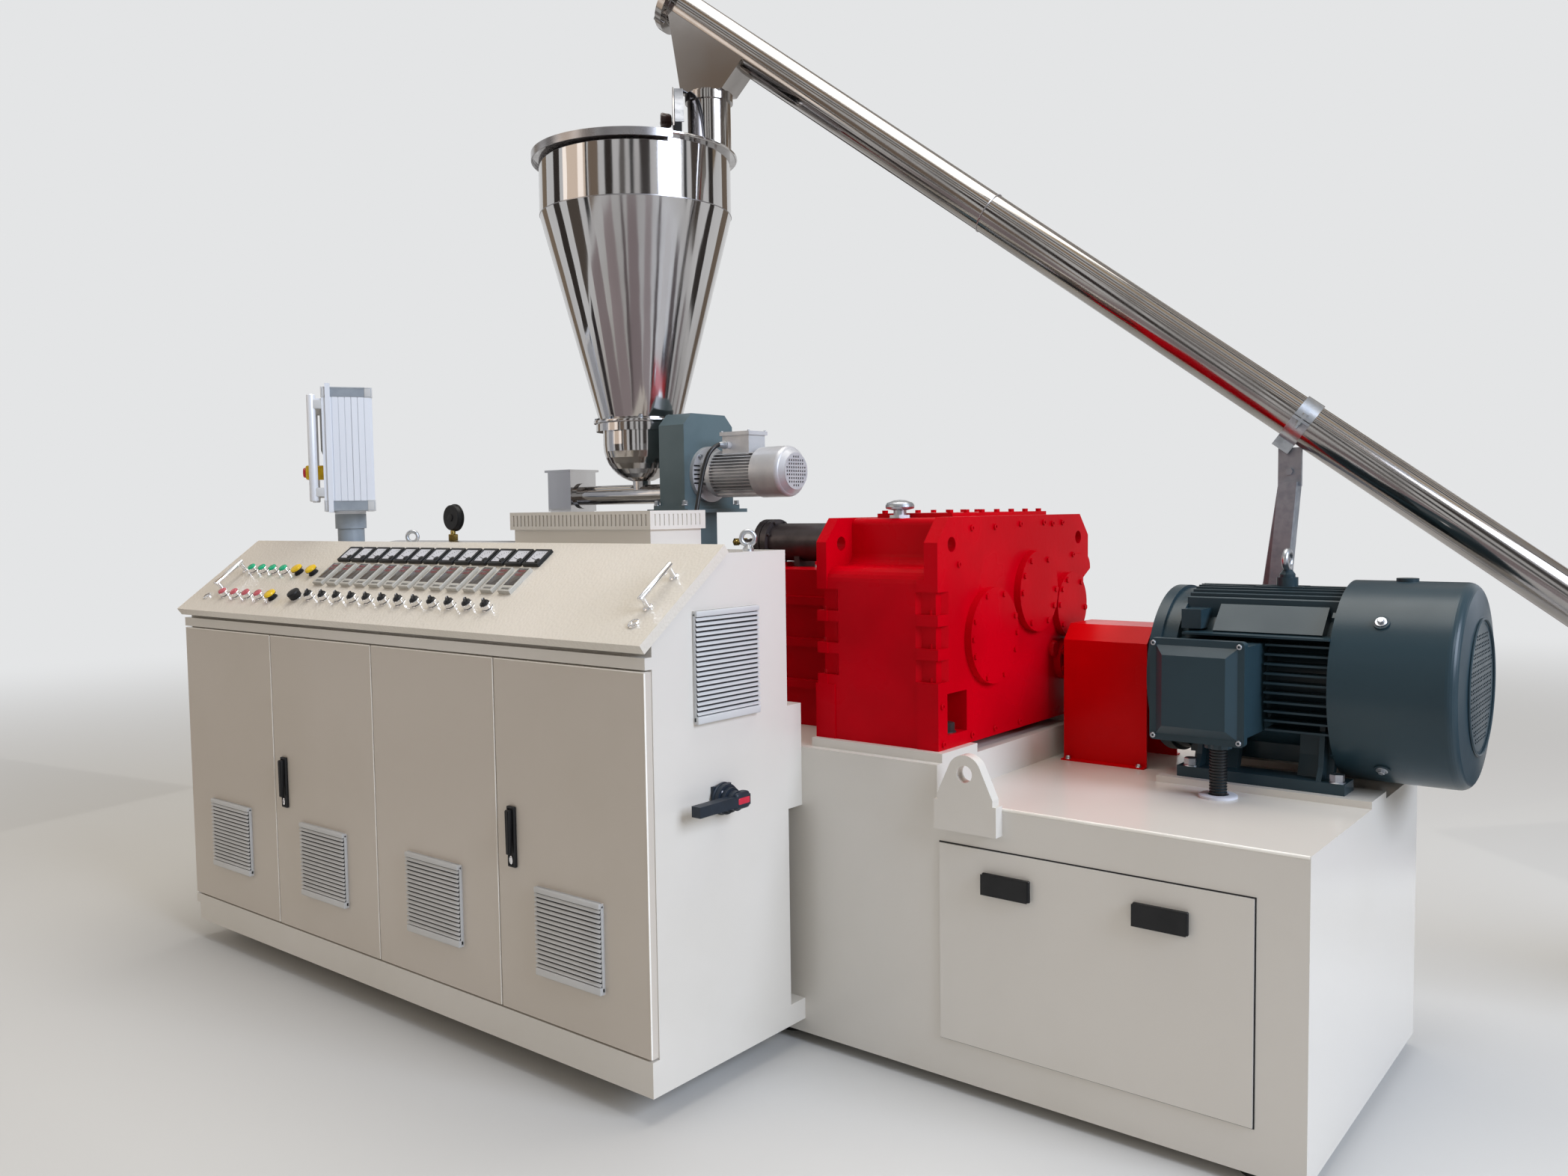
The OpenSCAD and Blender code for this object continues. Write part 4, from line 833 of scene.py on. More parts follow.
    def card(self, name: str, place: Matrix, width: float, depth: float, tone: str) -> None:
        """Puts up a card, which only shiny surfaces see.

        Args:
            name: Name of the card.
            place: Matrix from its own plane to the row frame.
            width: Its size along its own X in metres.
            depth: Its size along its own Y.
            tone: Its sRGB colour.
        """
        obj, material = self.plane(name, 1)
        Bench.move(obj, place @ Matrix.Diagonal((width, depth, 1.0, 1.0)))
        tree = material.node_tree
        tree.nodes.clear()
        glow = add(tree, "Emission", {"Color": linear(tone), "Strength": 1.0})
        add(tree, "OutputMaterial", {}, {"Surface": glow.outputs[0]})
        obj.visible_camera = obj.visible_diffuse = obj.visible_shadow = False

    def floor(self) -> None:
        """Lays a pale floor that runs into the backdrop far from the machine."""
        floor, material = self.plane("studio_floor", self.floor_m)
        tree = material.node_tree
        shader = tree.nodes["Principled BSDF"]
        shader.inputs["Base Color"].default_value = linear("#CFCFCD")
        shader.inputs["Roughness"].default_value = 0.7
        place = add(tree, "TexCoord")
        far = add(tree, "VectorMath", {"operation": "LENGTH"}, {"Vector": place.outputs["Object"]})
        span = {"interpolation_type": "SMOOTHSTEP", "From Min": 3.0, "From Max": 12.0}
        fade = add(tree, "MapRange", span, {"Value": far.outputs["Value"]})
        rays = add(tree, "LightPath").outputs
        larger = {"operation": "MAXIMUM"}
        shown = add(tree, "Math", larger, {0: rays["Is Camera Ray"], 1: rays["Is Glossy Ray"]})
        product = {0: shown.outputs[0], 1: fade.outputs["Result"]}
        amount = add(tree, "Math", {"operation": "MULTIPLY"}, product)
        pale = add(tree, "Emission", {"Color": linear(self.backdrop), "Strength": 1.0})
        parts = {0: amount.outputs[0], 1: shader.outputs[0], 2: pale.outputs[0]}
        mix = add(tree, "MixShader", {}, parts)
        tree.links.new(mix.outputs[0], tree.nodes["Material Output"].inputs["Surface"])

    def build(self) -> None:
        """Sets up the whole studio."""
        self.floor()
        self.world()
        self.camera()
        self.lamp("key", (9.0, -1.0, 5.5), (0.3, -0.1, 0.9), 5.0, 860.0, "#DFEBFF")
        self.lamp("top", (-0.5, 0.5, 8.5), (-0.5, 0.0, 1.0), 6.0, 400.0, "#FFFBF4")
        self.lamp("fill", (-5.5, -7.5, 4.0), (-0.8, 0.0, 1.0), 5.0, 70.0, "#FFEAD6")
        for i, (angle, width, tone) in enumerate(self.cards):
            a = math.radians(angle)
            foot = shift(self.card_far * math.cos(a), self.card_far * math.sin(a), self.card_h / 2 - 0.4)
            stand = foot @ Matrix.Rotation(a + math.pi / 2, 4, "Z") @ Facing.FRONT.value
            self.card(f"card_{i}", stand, width, self.card_h, tone)
        for i, (angle, width, tone) in enumerate(self.rays):
            ray = Matrix.Translation(self.hopper) @ turn(angle) @ shift(6.4)
            self.card(f"ray_{i}", ray, 6.0, width, tone)
        for i, (y, width, tone) in enumerate(self.slats):
            self.card(f"slat_{i}", shift(0.0, y, 9.2), 26.0, width, tone)
        bpy.context.scene.view_settings.view_transform = "Standard"
        log.info("studio ready")


@dataclass
class FeederCable:
    """Cable of the feeder motor, down behind the hood into the rear of the cabinet.

    Attributes:
        diameter: Its thickness.
        steps: Steps of the smooth line between two points of the route.
        route: Points that the cable passes, in millimetres.
    """

    diameter: float = 14.0
    steps: int = 5
    route: tuple[Point, ...] = (
        (-612, 984, 1630), (-612, 962, 1631), (-615, 936, 1622), (-622, 914, 1596), (-629, 898, 1548),
        (-633, 882, 1478), (-632, 858, 1396), (-628, 822, 1306), (-621, 774, 1212), (-615, 716, 1124),
        (-610, 652, 1062), (-608, 592, 1030), (-608, 548, 1021), (-608, 513, 1020),
    )

    def line(self) -> list[Vector]:
        """Gives a smooth line through the route, in the row frame."""
        pts = [Vector(p) for p in self.route]
        pts = [2 * pts[0] - pts[1], *pts, 2 * pts[-1] - pts[-2]]
        out = []
        for a, b, c, d in zip(pts, pts[1:], pts[2:], pts[3:]):
            square = 2 * a - 5 * b + 4 * c - d
            cube = 3 * b - a - 3 * c + d
            for i in range(self.steps):
                t = i / self.steps
                out.append(0.5 * (2 * b + (c - a) * t + square * t**2 + cube * t**3))
        out.append(pts[-2])
        return [ROW @ p for p in out]

    def gland(self, name: str, where: Matrix, paint: Paint) -> Object:
        """Models a cable gland: a hexagon nut with a tapered sleeve."""
        nut = Bench.soften(Bench.turned(f"{name}_nut", [(14, 0), (14, 8)], 6), 1.0)
        sleeve = Bench.turned(name, [(12, 7), (11.5, 15), (8.6, 27), (7.4, 32), (7.4, 20)], 24)
        return settle(Bench.join(name, [sleeve, nut]), paint, where)

    def build(self) -> None:
        """Lays the cable and its two glands."""
        line = self.line()
        data = bpy.data.curves.new("feeder_cable", "CURVE")
        data.dimensions = "3D"
        data.bevel_depth = self.diameter / 2 * MM
        data.bevel_resolution = 4
        data.use_fill_caps = True
        spline = data.splines.new("POLY")
        spline.points.add(len(line) - 1)
        for point, place in zip(spline.points, line):
            point.co = (*place, 1.0)
        cable = new_object("feeder_cable", data)
        data.materials.append(Paint.CABLE.material())
        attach(cable, Body.MACHINE.value)
        glands = [
            self.gland("cable_gland_motor", ROW @ spot(-612, 984, 1630, Facing.FRONT), Paint.ZINC),
            self.gland("cable_gland_cabinet", ROW @ spot(-608, 513, 1020, Facing.BACK), Paint.BLACK),
        ]


@dataclass
class Cabinet:
    """Louvres, swing handles and the isolator of the electric cabinet.

    Attributes:
        louvre: Width and height of a door louvre.
        side: Width and height of the louvre in the side wall.
        door_w: Width of a door.
        door_gap: Gap between two doors.
        blade_pitch: Distance between the blades of a louvre.
        proud: How far a louvre stands off the sheet.
        door_bodies: Bodies of the doors, from the left.
    """

    louvre: tuple[float, float] = (235.0, 222.0)
    side: tuple[float, float] = (230.0, 269.0)
    door_w: float = CAB_W / 4
    door_gap: float = 5.0
    blade_pitch: float = 11.8
    proud: float = 16.0
    door_bodies: tuple[Body, ...] = (Body.DOOR_1, Body.DOOR_2, Body.DOOR_3, Body.DOOR_4)

    def frame(self, name: str, width: float, height: float) -> Object:
        """Models a louvre: two solid ends, blades that shed downwards and a slim rim.

        Args:
            name: Name of the piece.
            width: Width of the louvre.
            height: Height of the louvre.

        Returns:
            The louvre with X across, Y up and Z out of the door.
        """
        foot, head = 19.0, 14.0
        parts = []
        for low, high in ((0.0, foot), (height - head, height)):
            parts.append(Bench.block(name, (-0.6, low, 0.2), (width + 0.6, high, self.proud), 3.0, 3))
        for x in (-0.6, width - 2.4):
            parts.append(Bench.block(name, (x, 6.0, 0.2), (x + 3.0, height - 6.0, 9.4), 1.2))
        blade = Bench.block(name, (-0.5, -4.0, -0.8), (width + 0.5, 4.0, 1.0), 0.7)
        span = height - foot - head
        count = round(span / self.blade_pitch)
        lean = turn(-30, "X")
        places = [shift(0.0, foot + 6.0 + i * span / count, 12.6) @ lean for i in range(count)]
        parts.append(Bench.repeat(blade, places))
        return Bench.join(name, parts)

    def mat(self, name: str, width: float, height: float) -> Object:
        """Models the filter mat behind the blades, quilted by a few subdivisions.

        Args:
            name: Name of the piece.
            width: Width of the louvre.
            height: Height of the louvre.

        Returns:
            The mat in the frame of the louvre.
        """
        body = Bench.block(name, (3.0, 12.0, 7.6), (width - 3.0, height - 8.0, 8.5))
        Bench.pick(body, faces(Facing.UP))
        bpy.ops.mesh.subdivide(number_cuts=5)
        Bench.mode("OBJECT")
        return Bench.press(body, faces(Facing.UP), 1.5, 0.25)

    def louvres(self) -> None:
        """Puts a louvre in every door and one in the side wall."""
        left = -CAB_W + (self.door_w - self.louvre[0]) / 2
        spots = [
            (f"door_{i + 1}", self.louvre, spot(left + i * self.door_w, 0.0, 279.0, Facing.FRONT), body)
            for i, body in enumerate(self.door_bodies)
        ]
        wall = shift(0.0, 159.0, 918.0) @ turn(90) @ Facing.FRONT.value
        spots.append(("side_wall", self.side, wall, Body.MACHINE))
        for stem, size, where, body in spots:
            settle(self.frame(f"{stem}_louvre", *size), Paint.LOUVRE, ROW @ where, body)
            # The mat's dark grey paints the shade between the blades.
            settle(self.mat(f"{stem}_filter", *size), Paint.MAT, ROW @ where, body)

    def handles(self) -> None:
        """Replaces the swing handles by slimmer ones with a dished tray and a lock."""
        for n, body in ((2, Body.DOOR_2), (4, Body.DOOR_4)):
            name = f"door_{n}_swing_handle"
            where = ROW @ spot(-CAB_W + (n - 1) * self.door_w + 62, 0.0, 610.0, Facing.FRONT)
            tray = Bench.block(name, (-15.0, -78.0, 0.0), (15.0, 78.0, 9.0), 3.0, 3)
            Bench.press(tray, faces(Facing.UP, 8.9), 2.6, -3.0)
            grip = Bench.block("grip", (-8.0, -44.0, 5.0), (8.0, 70.0, 20.0))
            Bench.resize(grip, faces(Facing.FRONT), (0.8, 1, 0.55), (0, -44.0, 20.0))
            Bench.soften(grip, 2.4, 3)
            Bench.press(grip, faces(Facing.UP), 2.6, -1.4)
            piece = Bench.join(name, [tray, grip])
            settle(piece, Paint.BLACK, where, body)
            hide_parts(f"door_{n}_handle")
            steps = [(6.4, 5), (6.4, 9.6), (5.6, 10.4), (3.2, 10.4), (3.2, 9.4)]
            lock = Bench.turned(f"door_{n}_lock", steps, 28)
            Bench.resize(lock, lambda centre, normal: True, (1.0, 1.7, 1.0), (0, 0, 0))
            settle(lock, Paint.CHROME, where @ shift(0, -59.0), body)

    def edges(self) -> None:
        """Models the rounded folds at the doors' right and top edges, lighter as a painted highlight."""
        for i, body in enumerate(self.door_bodies):
            name = f"door_{i + 1}_edge_highlight"
            right = -CAB_W + (i + 1) * self.door_w - self.door_gap / 2
            left = right - self.door_w + self.door_gap
            upright = Bench.block(name, (right - 2.6, -1.0, 160.0), (right + 0.1, 4.0, 1058.0), 1.3, 3)
            head = Bench.block(name, (left + 1.0, -0.5, 1056.6), (right - 1.0, 18.0, 1059.5), 1.3, 3)
            # The lighter coat on these folds is a painted highlight.
            settle(Bench.join(name, [upright, head]), Paint.EDGE, ROW, body)

    def lifting_eyes(self) -> None:
        """Models the zinc-plated rings of the lifting eyes on the roof of the cabinet."""
        name = "cabinet_lifting_eyes"
        eye = Bench.torus(name, (17.0, 6.0), (40, 12), (90, 0, 40))
        foot = Bench.turned("eye_foot", [(14.2, -33.0), (14.2, -26.5), (8.4, -18.0), (7.0, -16.0)], 28)
        spots = [shift(x, 412.0, 1352.4) for x in (-38.0, -1465.0)]
        settle(Bench.join(name, [eye, foot]), Paint.ZINC, at=spots)

    def isolator(self) -> None:
        """Models the broad head of the isolator lever, its red inlay and its dial."""
        head = Bench.block("isolator_head", (39.2, 232.0, 705.0), (66.4, 285.5, 747.0), 9.0, 4)
        settle(head, Paint.NAVY, ROW, Body.GRIP)
        red = Bench.block("isolator_inlay", (60.0, 239.0, 717.5), (67.6, 281.0, 734.5), 3.4, 4)
        settle(red, Paint.SIGNAL_RED, ROW, Body.GRIP)
        dial = Bench.turned("isolator_dial", [(40, 0), (40, 3), (38, 5), (35.5, 5), (35.5, 3)], 48)
        settle(dial, Paint.NAVY, ROW @ spot(8.2, 247, 726, Facing.RIGHT))
        mark = Bench.block("isolator_mark", (24.0, 224.0, 744.0), (26.9, 236.0, 750.0), 0.8)
        settle(mark, Paint.WHITE)

    def build(self) -> None:
        """Models every piece of the cabinet."""
        self.louvres()
        self.edges()
        self.lifting_eyes()
        self.handles()
        self.isolator()


@dataclass
class Console:
    """What is mounted in the sloping lid.

    Attributes:
        meters: Number of meters and of controllers.
        pitch: Distance between them.
        first: Place of the first one.
        meter_s: Distance of the meters up the slope.
        gauge_s: Distance of the controllers up the slope.
        switch_s: Distance of the selectors up the slope.
    """

    meters: int = 13
    pitch: float = 74.6
    first: float = -1505.0
    meter_s: float = 294.93
    gauge_s: float = 197.93
    switch_s: float = 92.0

    def fit(self, obj: Object, paint: Paint, at: Sequence[Matrix] = ()) -> None:
        """Mounts a piece in the lid, at each of its places."""
        settle(obj, paint, LID, Body.CONSOLE, at)

    def row(self, s: float, z: float) -> list[Matrix]:
        """Gives the places of a row of instruments, s up the slope and z off the lid."""
        return [shift(self.first + i * self.pitch, s, z) for i in range(self.meters)]

    def meter_parts(self) -> None:
        """Models the dials: bezel, pale scale with ticks, needle and pivot cap."""
        places = self.row(self.meter_s, 7.0)
        bezel = Bench.block("meter_bezels", (-32.4, -32.4, -0.4), (32.4, 32.4, 3.4), 1.8)
        Bench.press(bezel, faces(Facing.UP, 3.3), 4.6, -2.4)
        self.fit(bezel, Paint.BLACK, places)
        scale = Bench.block("meter_scales", (-26.4, -21.0, 0.2), (26.4, 26.4, 1.5), 0.5, 1)
        self.fit(scale, Paint.WHITE, places)
        pivot = shift(15.0, -15.0)
        tick = Bench.block("meter_marks", (-0.6, 30.5, 1.4), (0.6, 35.0, 1.8), 0.1, 1)
        marks = [Bench.repeat(tick, [pivot @ turn(a) for a in range(2, 89, 14)])]
        needle = Bench.block("needle", (-0.7, -2.0, 1.9), (0.7, 31.0, 2.3), 0.2, 1)
        marks.append(Bench.move(needle, pivot @ turn(72)))
        cap = Bench.turned("cap", [(8.2, 1.2), (8.2, 2.6), (7.0, 3.2), (2.4, 3.2), (2.4, 2.9)], 20)
        marks.append(Bench.move(cap, pivot))
        self.fit(Bench.join("meter_marks", marks), Paint.BLACK, places)

    def figure(self, name: str) -> Object:
        """Models one seven-segment figure, 5 mm wide and 9 mm high."""
        bars = [Bench.block(name, (-1.8, y - 0.6, 0.0), (1.8, y + 0.6, 0.5)) for y in (-4.0, 0.0, 4.0)]
        for x in (-2.3, 2.3):
            for y in (-2.0, 2.0):
                bars.append(Bench.block(name, (x - 0.6, y - 1.5, 0.0), (x + 0.6, y + 1.5, 0.5)))
        return Bench.join(name, bars)

    def controller_parts(self) -> None:
        """Models the fronts, windows, figures and key strips of the controllers."""
        places = self.row(self.gauge_s, 8.0)
        front = Bench.block("controller_fronts", (-24.4, -48.4, -0.4), (24.4, 48.4, 4.0), 1.5)
        Bench.press(front, faces(Facing.UP, 3.9), 2.2, -0.8)
        self.fit(front, Paint.GREY, places)
        window = Bench.block("controller_windows", (-20.4, -25.0, 2.4), (20.4, 44.4, 3.6), 0.8)
        self.fit(window, Paint.GLASS, places)
        figures = [shift(x, y, 3.4) for y in (33.0, 19.0) for x in (-11.0, -3.6, 3.8, 11.2)]
        rows = [place @ figure for place in places for figure in figures]
        self.fit(self.figure("controller_figures"), Paint.DIGITS, rows)
        strip = Bench.block("controller_keys", (-15.5, -41.0, 2.6), (15.5, -33.0, 3.4), 0.4, 1)
        key = Bench.block("key", (-3.0, -39.8, 3.2), (3.0, -34.2, 4.2), 0.8)
        keys = Bench.repeat(key, [shift(x) for x in (-11.4, -3.8, 3.8, 11.4)])
        self.fit(Bench.join("controller_keys", [strip, keys]), Paint.KEYS, places)

    def switch_parts(self) -> None:
        """Models collars, caps and levers of the two rows of switches."""
        upper, lower = self.gauge_s + 6, self.switch_s - 12
        green = [shift(-CAB_W + 204 + 66 * i, upper) for i in range(4)]
        red = [shift(-CAB_W + 198 + 74 * i, lower) for i in range(4)]
        caps = [shift(-CAB_W + 482 + 84 * i, upper) for i in range(2)] + [shift(-CAB_W + 494, lower)]
        stop = shift(-CAB_W + 623, self.switch_s - 4)
        step = self.pitch + 2.6
        levers = [shift(self.first + 34 + i * step, self.switch_s) for i in range(self.meters - 1)]
        steps = [
            (15.8, -0.2), (15.8, 2.0), (14.8, 3.0), (14.8, 15.0), (13.6, 16.4), (11.4, 16.4), (11.4, 13.0)
        ]
        self.fit(Bench.turned("switch_collars", steps), Paint.CHROME, green + red + levers + [stop])
        steps = [(11.4, 13.0), (13.6, 16.2), (13.6, 21.0), (12.2, 23.0), (8.0, 24.2), (3.0, 24.6)]
        self.fit(Bench.turned("green_lenses", steps, 28), Paint.LENS_GREEN, green)
        self.fit(Bench.turned("red_lenses", steps, 28), Paint.LENS_RED, red)
        steps = [(16.0, -0.2), (16.0, 2.0), (12.0, 3.0), (12.0, 12.0), (18.4, 13.5), (18.4, 17.0)]
        self.fit(Bench.turned("cap_collars", steps), Paint.BLACK, caps)
        steps = [(18.8, 16.4), (19.2, 18.6), (17.8, 22.4), (13.0, 24.8), (6.0, 26.0), (2.0, 26.2)]
        self.fit(Bench.turned("yellow_caps", steps, 36), Paint.LENS_YELLOW, caps)
        steps = [(11, 13), (13, 16), (19.8, 17.5), (20.4, 21), (18.6, 24.6), (12, 27), (3, 27.8)]
        settle(Bench.turned("mushroom_button", steps, 36), Paint.BLACK, LID @ stop, Body.CONSOLE)
        steps = [(11.0, 14.0), (13.2, 16.5), (13.2, 19.5), (11.6, 21.5), (4.0, 22.0)]
        knob = Bench.turned("selector_knobs", steps, 28)
        lever = Bench.block("lever", (-4.4, -14.2, 17.0), (4.4, 14.2, 28.2))
        Bench.resize(lever, faces(Facing.UP), (0.6, 0.92, 1), (0, 0, 28.2))
        Bench.soften(lever, 1.4, 3)
        turned = [place @ turn(45) for place in levers]
        self.fit(Bench.join("selector_knobs", [knob, lever]), Paint.BLACK, turned)
        line = Bench.block("selector_pointers", (-0.8, 3.0, 27.7), (0.8, 12.4, 28.6), 0.3, 1)
        self.fit(line, Paint.WHITE, turned)

    def handle(self, name: str, x: float, low: float, high: float) -> None:
        """Models a chrome pull on two round feet.

        Args:
            name: Name of the piece.
            x: Place along the machine.
            low: Place of the lower foot up the slope.
            high: Place of the upper foot.
        """
        foot = Bench.turned(f"{name}_foot", [(12.5, 0), (12.5, 3), (10.5, 5.2), (7.6, 6), (7.2, 33)], 28)
        feet = Bench.repeat(foot, [shift(x, s) for s in (low, high)])
        bar = Bench.soften(Bench.turned(f"{name}_bar", [(7.8, 0), (7.8, high - low + 22)], 28), 3.5, 4)
        Bench.move(bar, spot(x, low - 11, 34, Facing.BACK))
        self.fit(Bench.join(name, [bar, feet]), Paint.CHROME)

    def build(self) -> None:
        """Models every piece of the console."""
        self.meter_parts()
        self.controller_parts()
        self.switch_parts()
        self.handle("lid_handle_left", -CAB_W + 149, 104.0, 204.0)
        self.handle("lid_handle_right", -63.0, 126.0, 238.0)
        lock = Bench.turned("lid_locks", [(15, 0), (15, 4), (12.5, 5.6), (6, 5.6), (6, 4.2)], 28)
        key = Bench.block("lid_lock_slots", (-1.6, -5.0, 4.0), (1.6, 5.0, 6.2), 0.4, 1)
        spots = [shift(x, 69.0) for x in (-CAB_W + 97, -65.0)]
        self.fit(Bench.join("lid_locks", [lock, key]), Paint.CHROME, spots)


@dataclass
class Drive:
    """Small parts of the gearbox, guard and drive motor.

    Attributes:
        face_x: Right face of the gearbox.
        motor_y: Motor axis across the machine.
        motor_z: Height of the motor axis.
        breather: Foot of the breather.
    """

    face_x: float = 394.0
    motor_y: float = 1295.0
    motor_z: float = 985.0
    breather: Point = (185.0, 768.5, 1357.0)

    def gearbox(self) -> None:
        """Models the screws and lobes of the gearbox, its bolts and the breather's neck."""
        face = [
            (779, 1370), (899, 1371), (1038, 1376), (1175, 1378), (1228, 1374), (1290, 1376),
            (714, 1280), (1358, 1282), (631, 933), (636, 838), (775, 842), (894, 842), (1030, 841),
        ]
        spots = [spot(self.face_x, y, z, Facing.RIGHT) for y, z in face]
        settle(socket_screw("gearbox_face_screws", 8.0, 5.0), Paint.RED, at=spots)
        lobe = Bench.turned("gearbox_lobes", [(24, -2), (24, 5), (20, 11), (8, 12)])
        spots = [spot(self.face_x, y, z, Facing.RIGHT) for y, z in ((1232, 1020), (1372, 1016))]
        settle(lobe, Paint.RED, at=spots)
        feet = [shift(x, y, 857.0) for x in (49.0, 363.0) for y in (703.5, 1386.5)]
        settle(hexagon("gearbox_foot_bolts", 40.0, 22.0, 24.0), Paint.IRON, at=feet)
        ledge = [shift(x, 638.0, 991.0 + i * 84.0) for i in range(3) for x in (366.0, 45.0)]
        settle(hexagon("gearbox_flange_bolts", 26.0, 12.0), Paint.RED, at=ledge)
        neck = Bench.turned("breather_neck", [(33, 0), (33, 8.6), (26, 11), (21, 12.5), (19.5, 19.5)], 40)
        settle(neck, Paint.RED, ROW @ spot(*self.breather))

    def motor(self) -> None:
        """Models the hold-down nuts, cowl screws, lid screws and eye bolt of the motor."""
        feet = [shift(x, y, 762.0) for x in (845.0, 1194.0) for y in (1092.0, 1498.0)]
        settle(hexagon("motor_foot_nuts", 34.0, 18.0, 19.0), Paint.ZINC, at=feet)
        hub = shift(1281.0, self.motor_y, self.motor_z)
        spots = [hub @ turn(angle, "X") @ shift(0, 0, 249.0) for angle in (50, 140, 230, 320)]
        settle(hexagon("cowl_screws", 15.0, 7.0, 13.0), Paint.ZINC, at=spots)
        corners = [spot(x, 925.0, z, Facing.FRONT) for x in (814.0, 1020.0) for z in (863.0, 1089.0)]
        settle(socket_screw("terminal_lid_screws", 6.4, 7.5), Paint.ZINC, at=corners)
        eye = Bench.torus("motor_eye_bolt", (22.0, 8.6), (40, 14), (0, 90, 0))
        low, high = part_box("motor_frame")
        settle(eye, Paint.ZINC, ROW @ shift(1016.0, self.motor_y, high.z / MM - 30.0))

    def fan_guard(self) -> None:
        """Models the level wires of the fan guard, each as long as its chord, and its hoop."""
        bar = Bench.block("fan_guard_bars", (1452.6, -1.0, -1.9), (1457.6, 1.0, 1.9), 0.6, 1)
        places = []
        for z in range(-120, 121, 20):
            half = math.sqrt(141.0**2 - z**2)
            places.append(shift(0.0, self.motor_y, self.motor_z + z) @ Matrix.Diagonal((1, half, 1, 1)))
        settle(bar, Paint.SLATE, at=places)
        hoop = Bench.torus("fan_guard_ring", (160.0, 3.2), (72, 10))
        settle(hoop, Paint.SLATE, ROW @ spot(1458.6, self.motor_y, self.motor_z, Facing.RIGHT))

    def conduit(self) -> None:
        """Models the ribbed conduit sleeve and its two collars."""
        where = ROW @ shift(954.0, 977.0)
        core, rib = 17.8, 20.8
        profile = [(core, 723.0)]
        for i in range(15):
            z = 727.0 + i * 7.2
            profile += [(core, z), (rib, z + 1.4), (rib, z + 4.2), (core, z + 5.6)]
        profile.append((core, 839.0))
        settle(Bench.turned("conduit_sleeve", profile), Paint.CABLE, where)
        nut = Bench.turned("conduit_nut", [(33.0, 837.0), (33.0, 856.0), (30.0, 869.5)], 6)
        settle(Bench.soften(nut, 1.0), Paint.SLATE, where)
        steps = [(45.0, 718.1), (45.0, 723.4), (42.0, 725.0), (25.0, 725.0), (22.0, 722.0)]
        settle(Bench.turned("conduit_floor_ring", steps, 40), Paint.WHITE, where)

    def guard(self) -> None:
        """Models the coupling guard's screws, the access panel's grips and painted gap shade, and a
        deck-edge highlight.
        """
        spots = [shift(x, y, 722.0) for x in (469.0, 672.0) for y in (1174.0, 1416.0)]
        settle(hexagon("guard_screws", 13.0, 6.0, 8.5), Paint.ZINC, at=spots)
        x0, x1, z0, z1, w = 423.0, 1172.0, 130.0, 613.0, 3.2
        # A dark strip round the access panel paints the shade in the gap round it.
        gap_shade = []
        for low, high in (
            ((x0 - w, z0 - w), (x0, z1 + w)), ((x1, z0 - w), (x1 + w, z1 + w)),
            ((x0, z0 - w), (x1, z0)), ((x0, z1), (x1, z1 + w)),
        ):
            corners = (low[0], BASE_Y - 1.4, low[1]), (high[0], BASE_Y + 0.6, high[1])
            gap_shade.append(Bench.block("panel_gap_shade", *corners, 0.5, 1))
        settle(Bench.join("panel_gap_shade", gap_shade), Paint.RUBBER)
        # A rounded bead along the deck's front edge, in the lighter coat as a painted highlight.
        weld = Bench.block("deck_edge_highlight", (530.0, BASE_Y - 0.9, 711.0), (1279.5, BASE_Y + 6.0, 718.8), 3.2, 4)
        settle(weld, Paint.EDGE)
        for i, x in enumerate((605.0, 976.0)):
            name = f"panel_grip_{i + 1}"
            cup = Bench.block(name, (x - 62, BASE_Y - 15.0, 509.0), (x + 62, BASE_Y - 5.9, 561.0), 3.0, 3)
            Bench.press(cup, faces(Facing.FRONT, 14.5 - BASE_Y), 5.0, -7.6)
            low, high = (x - 48, BASE_Y - 14.5, 520.0), (x + 48, BASE_Y - 8.2, 526.0)
            lip = Bench.block(f"grip_lip_{i + 1}", low, high, 2.0)
            settle(Bench.join(name, [cup, lip]), Paint.BLACK)

    def build(self) -> None:
        """Models every piece of the drive."""
        self.gearbox()
        self.motor()
        self.fan_guard()
        self.conduit()
        self.guard()


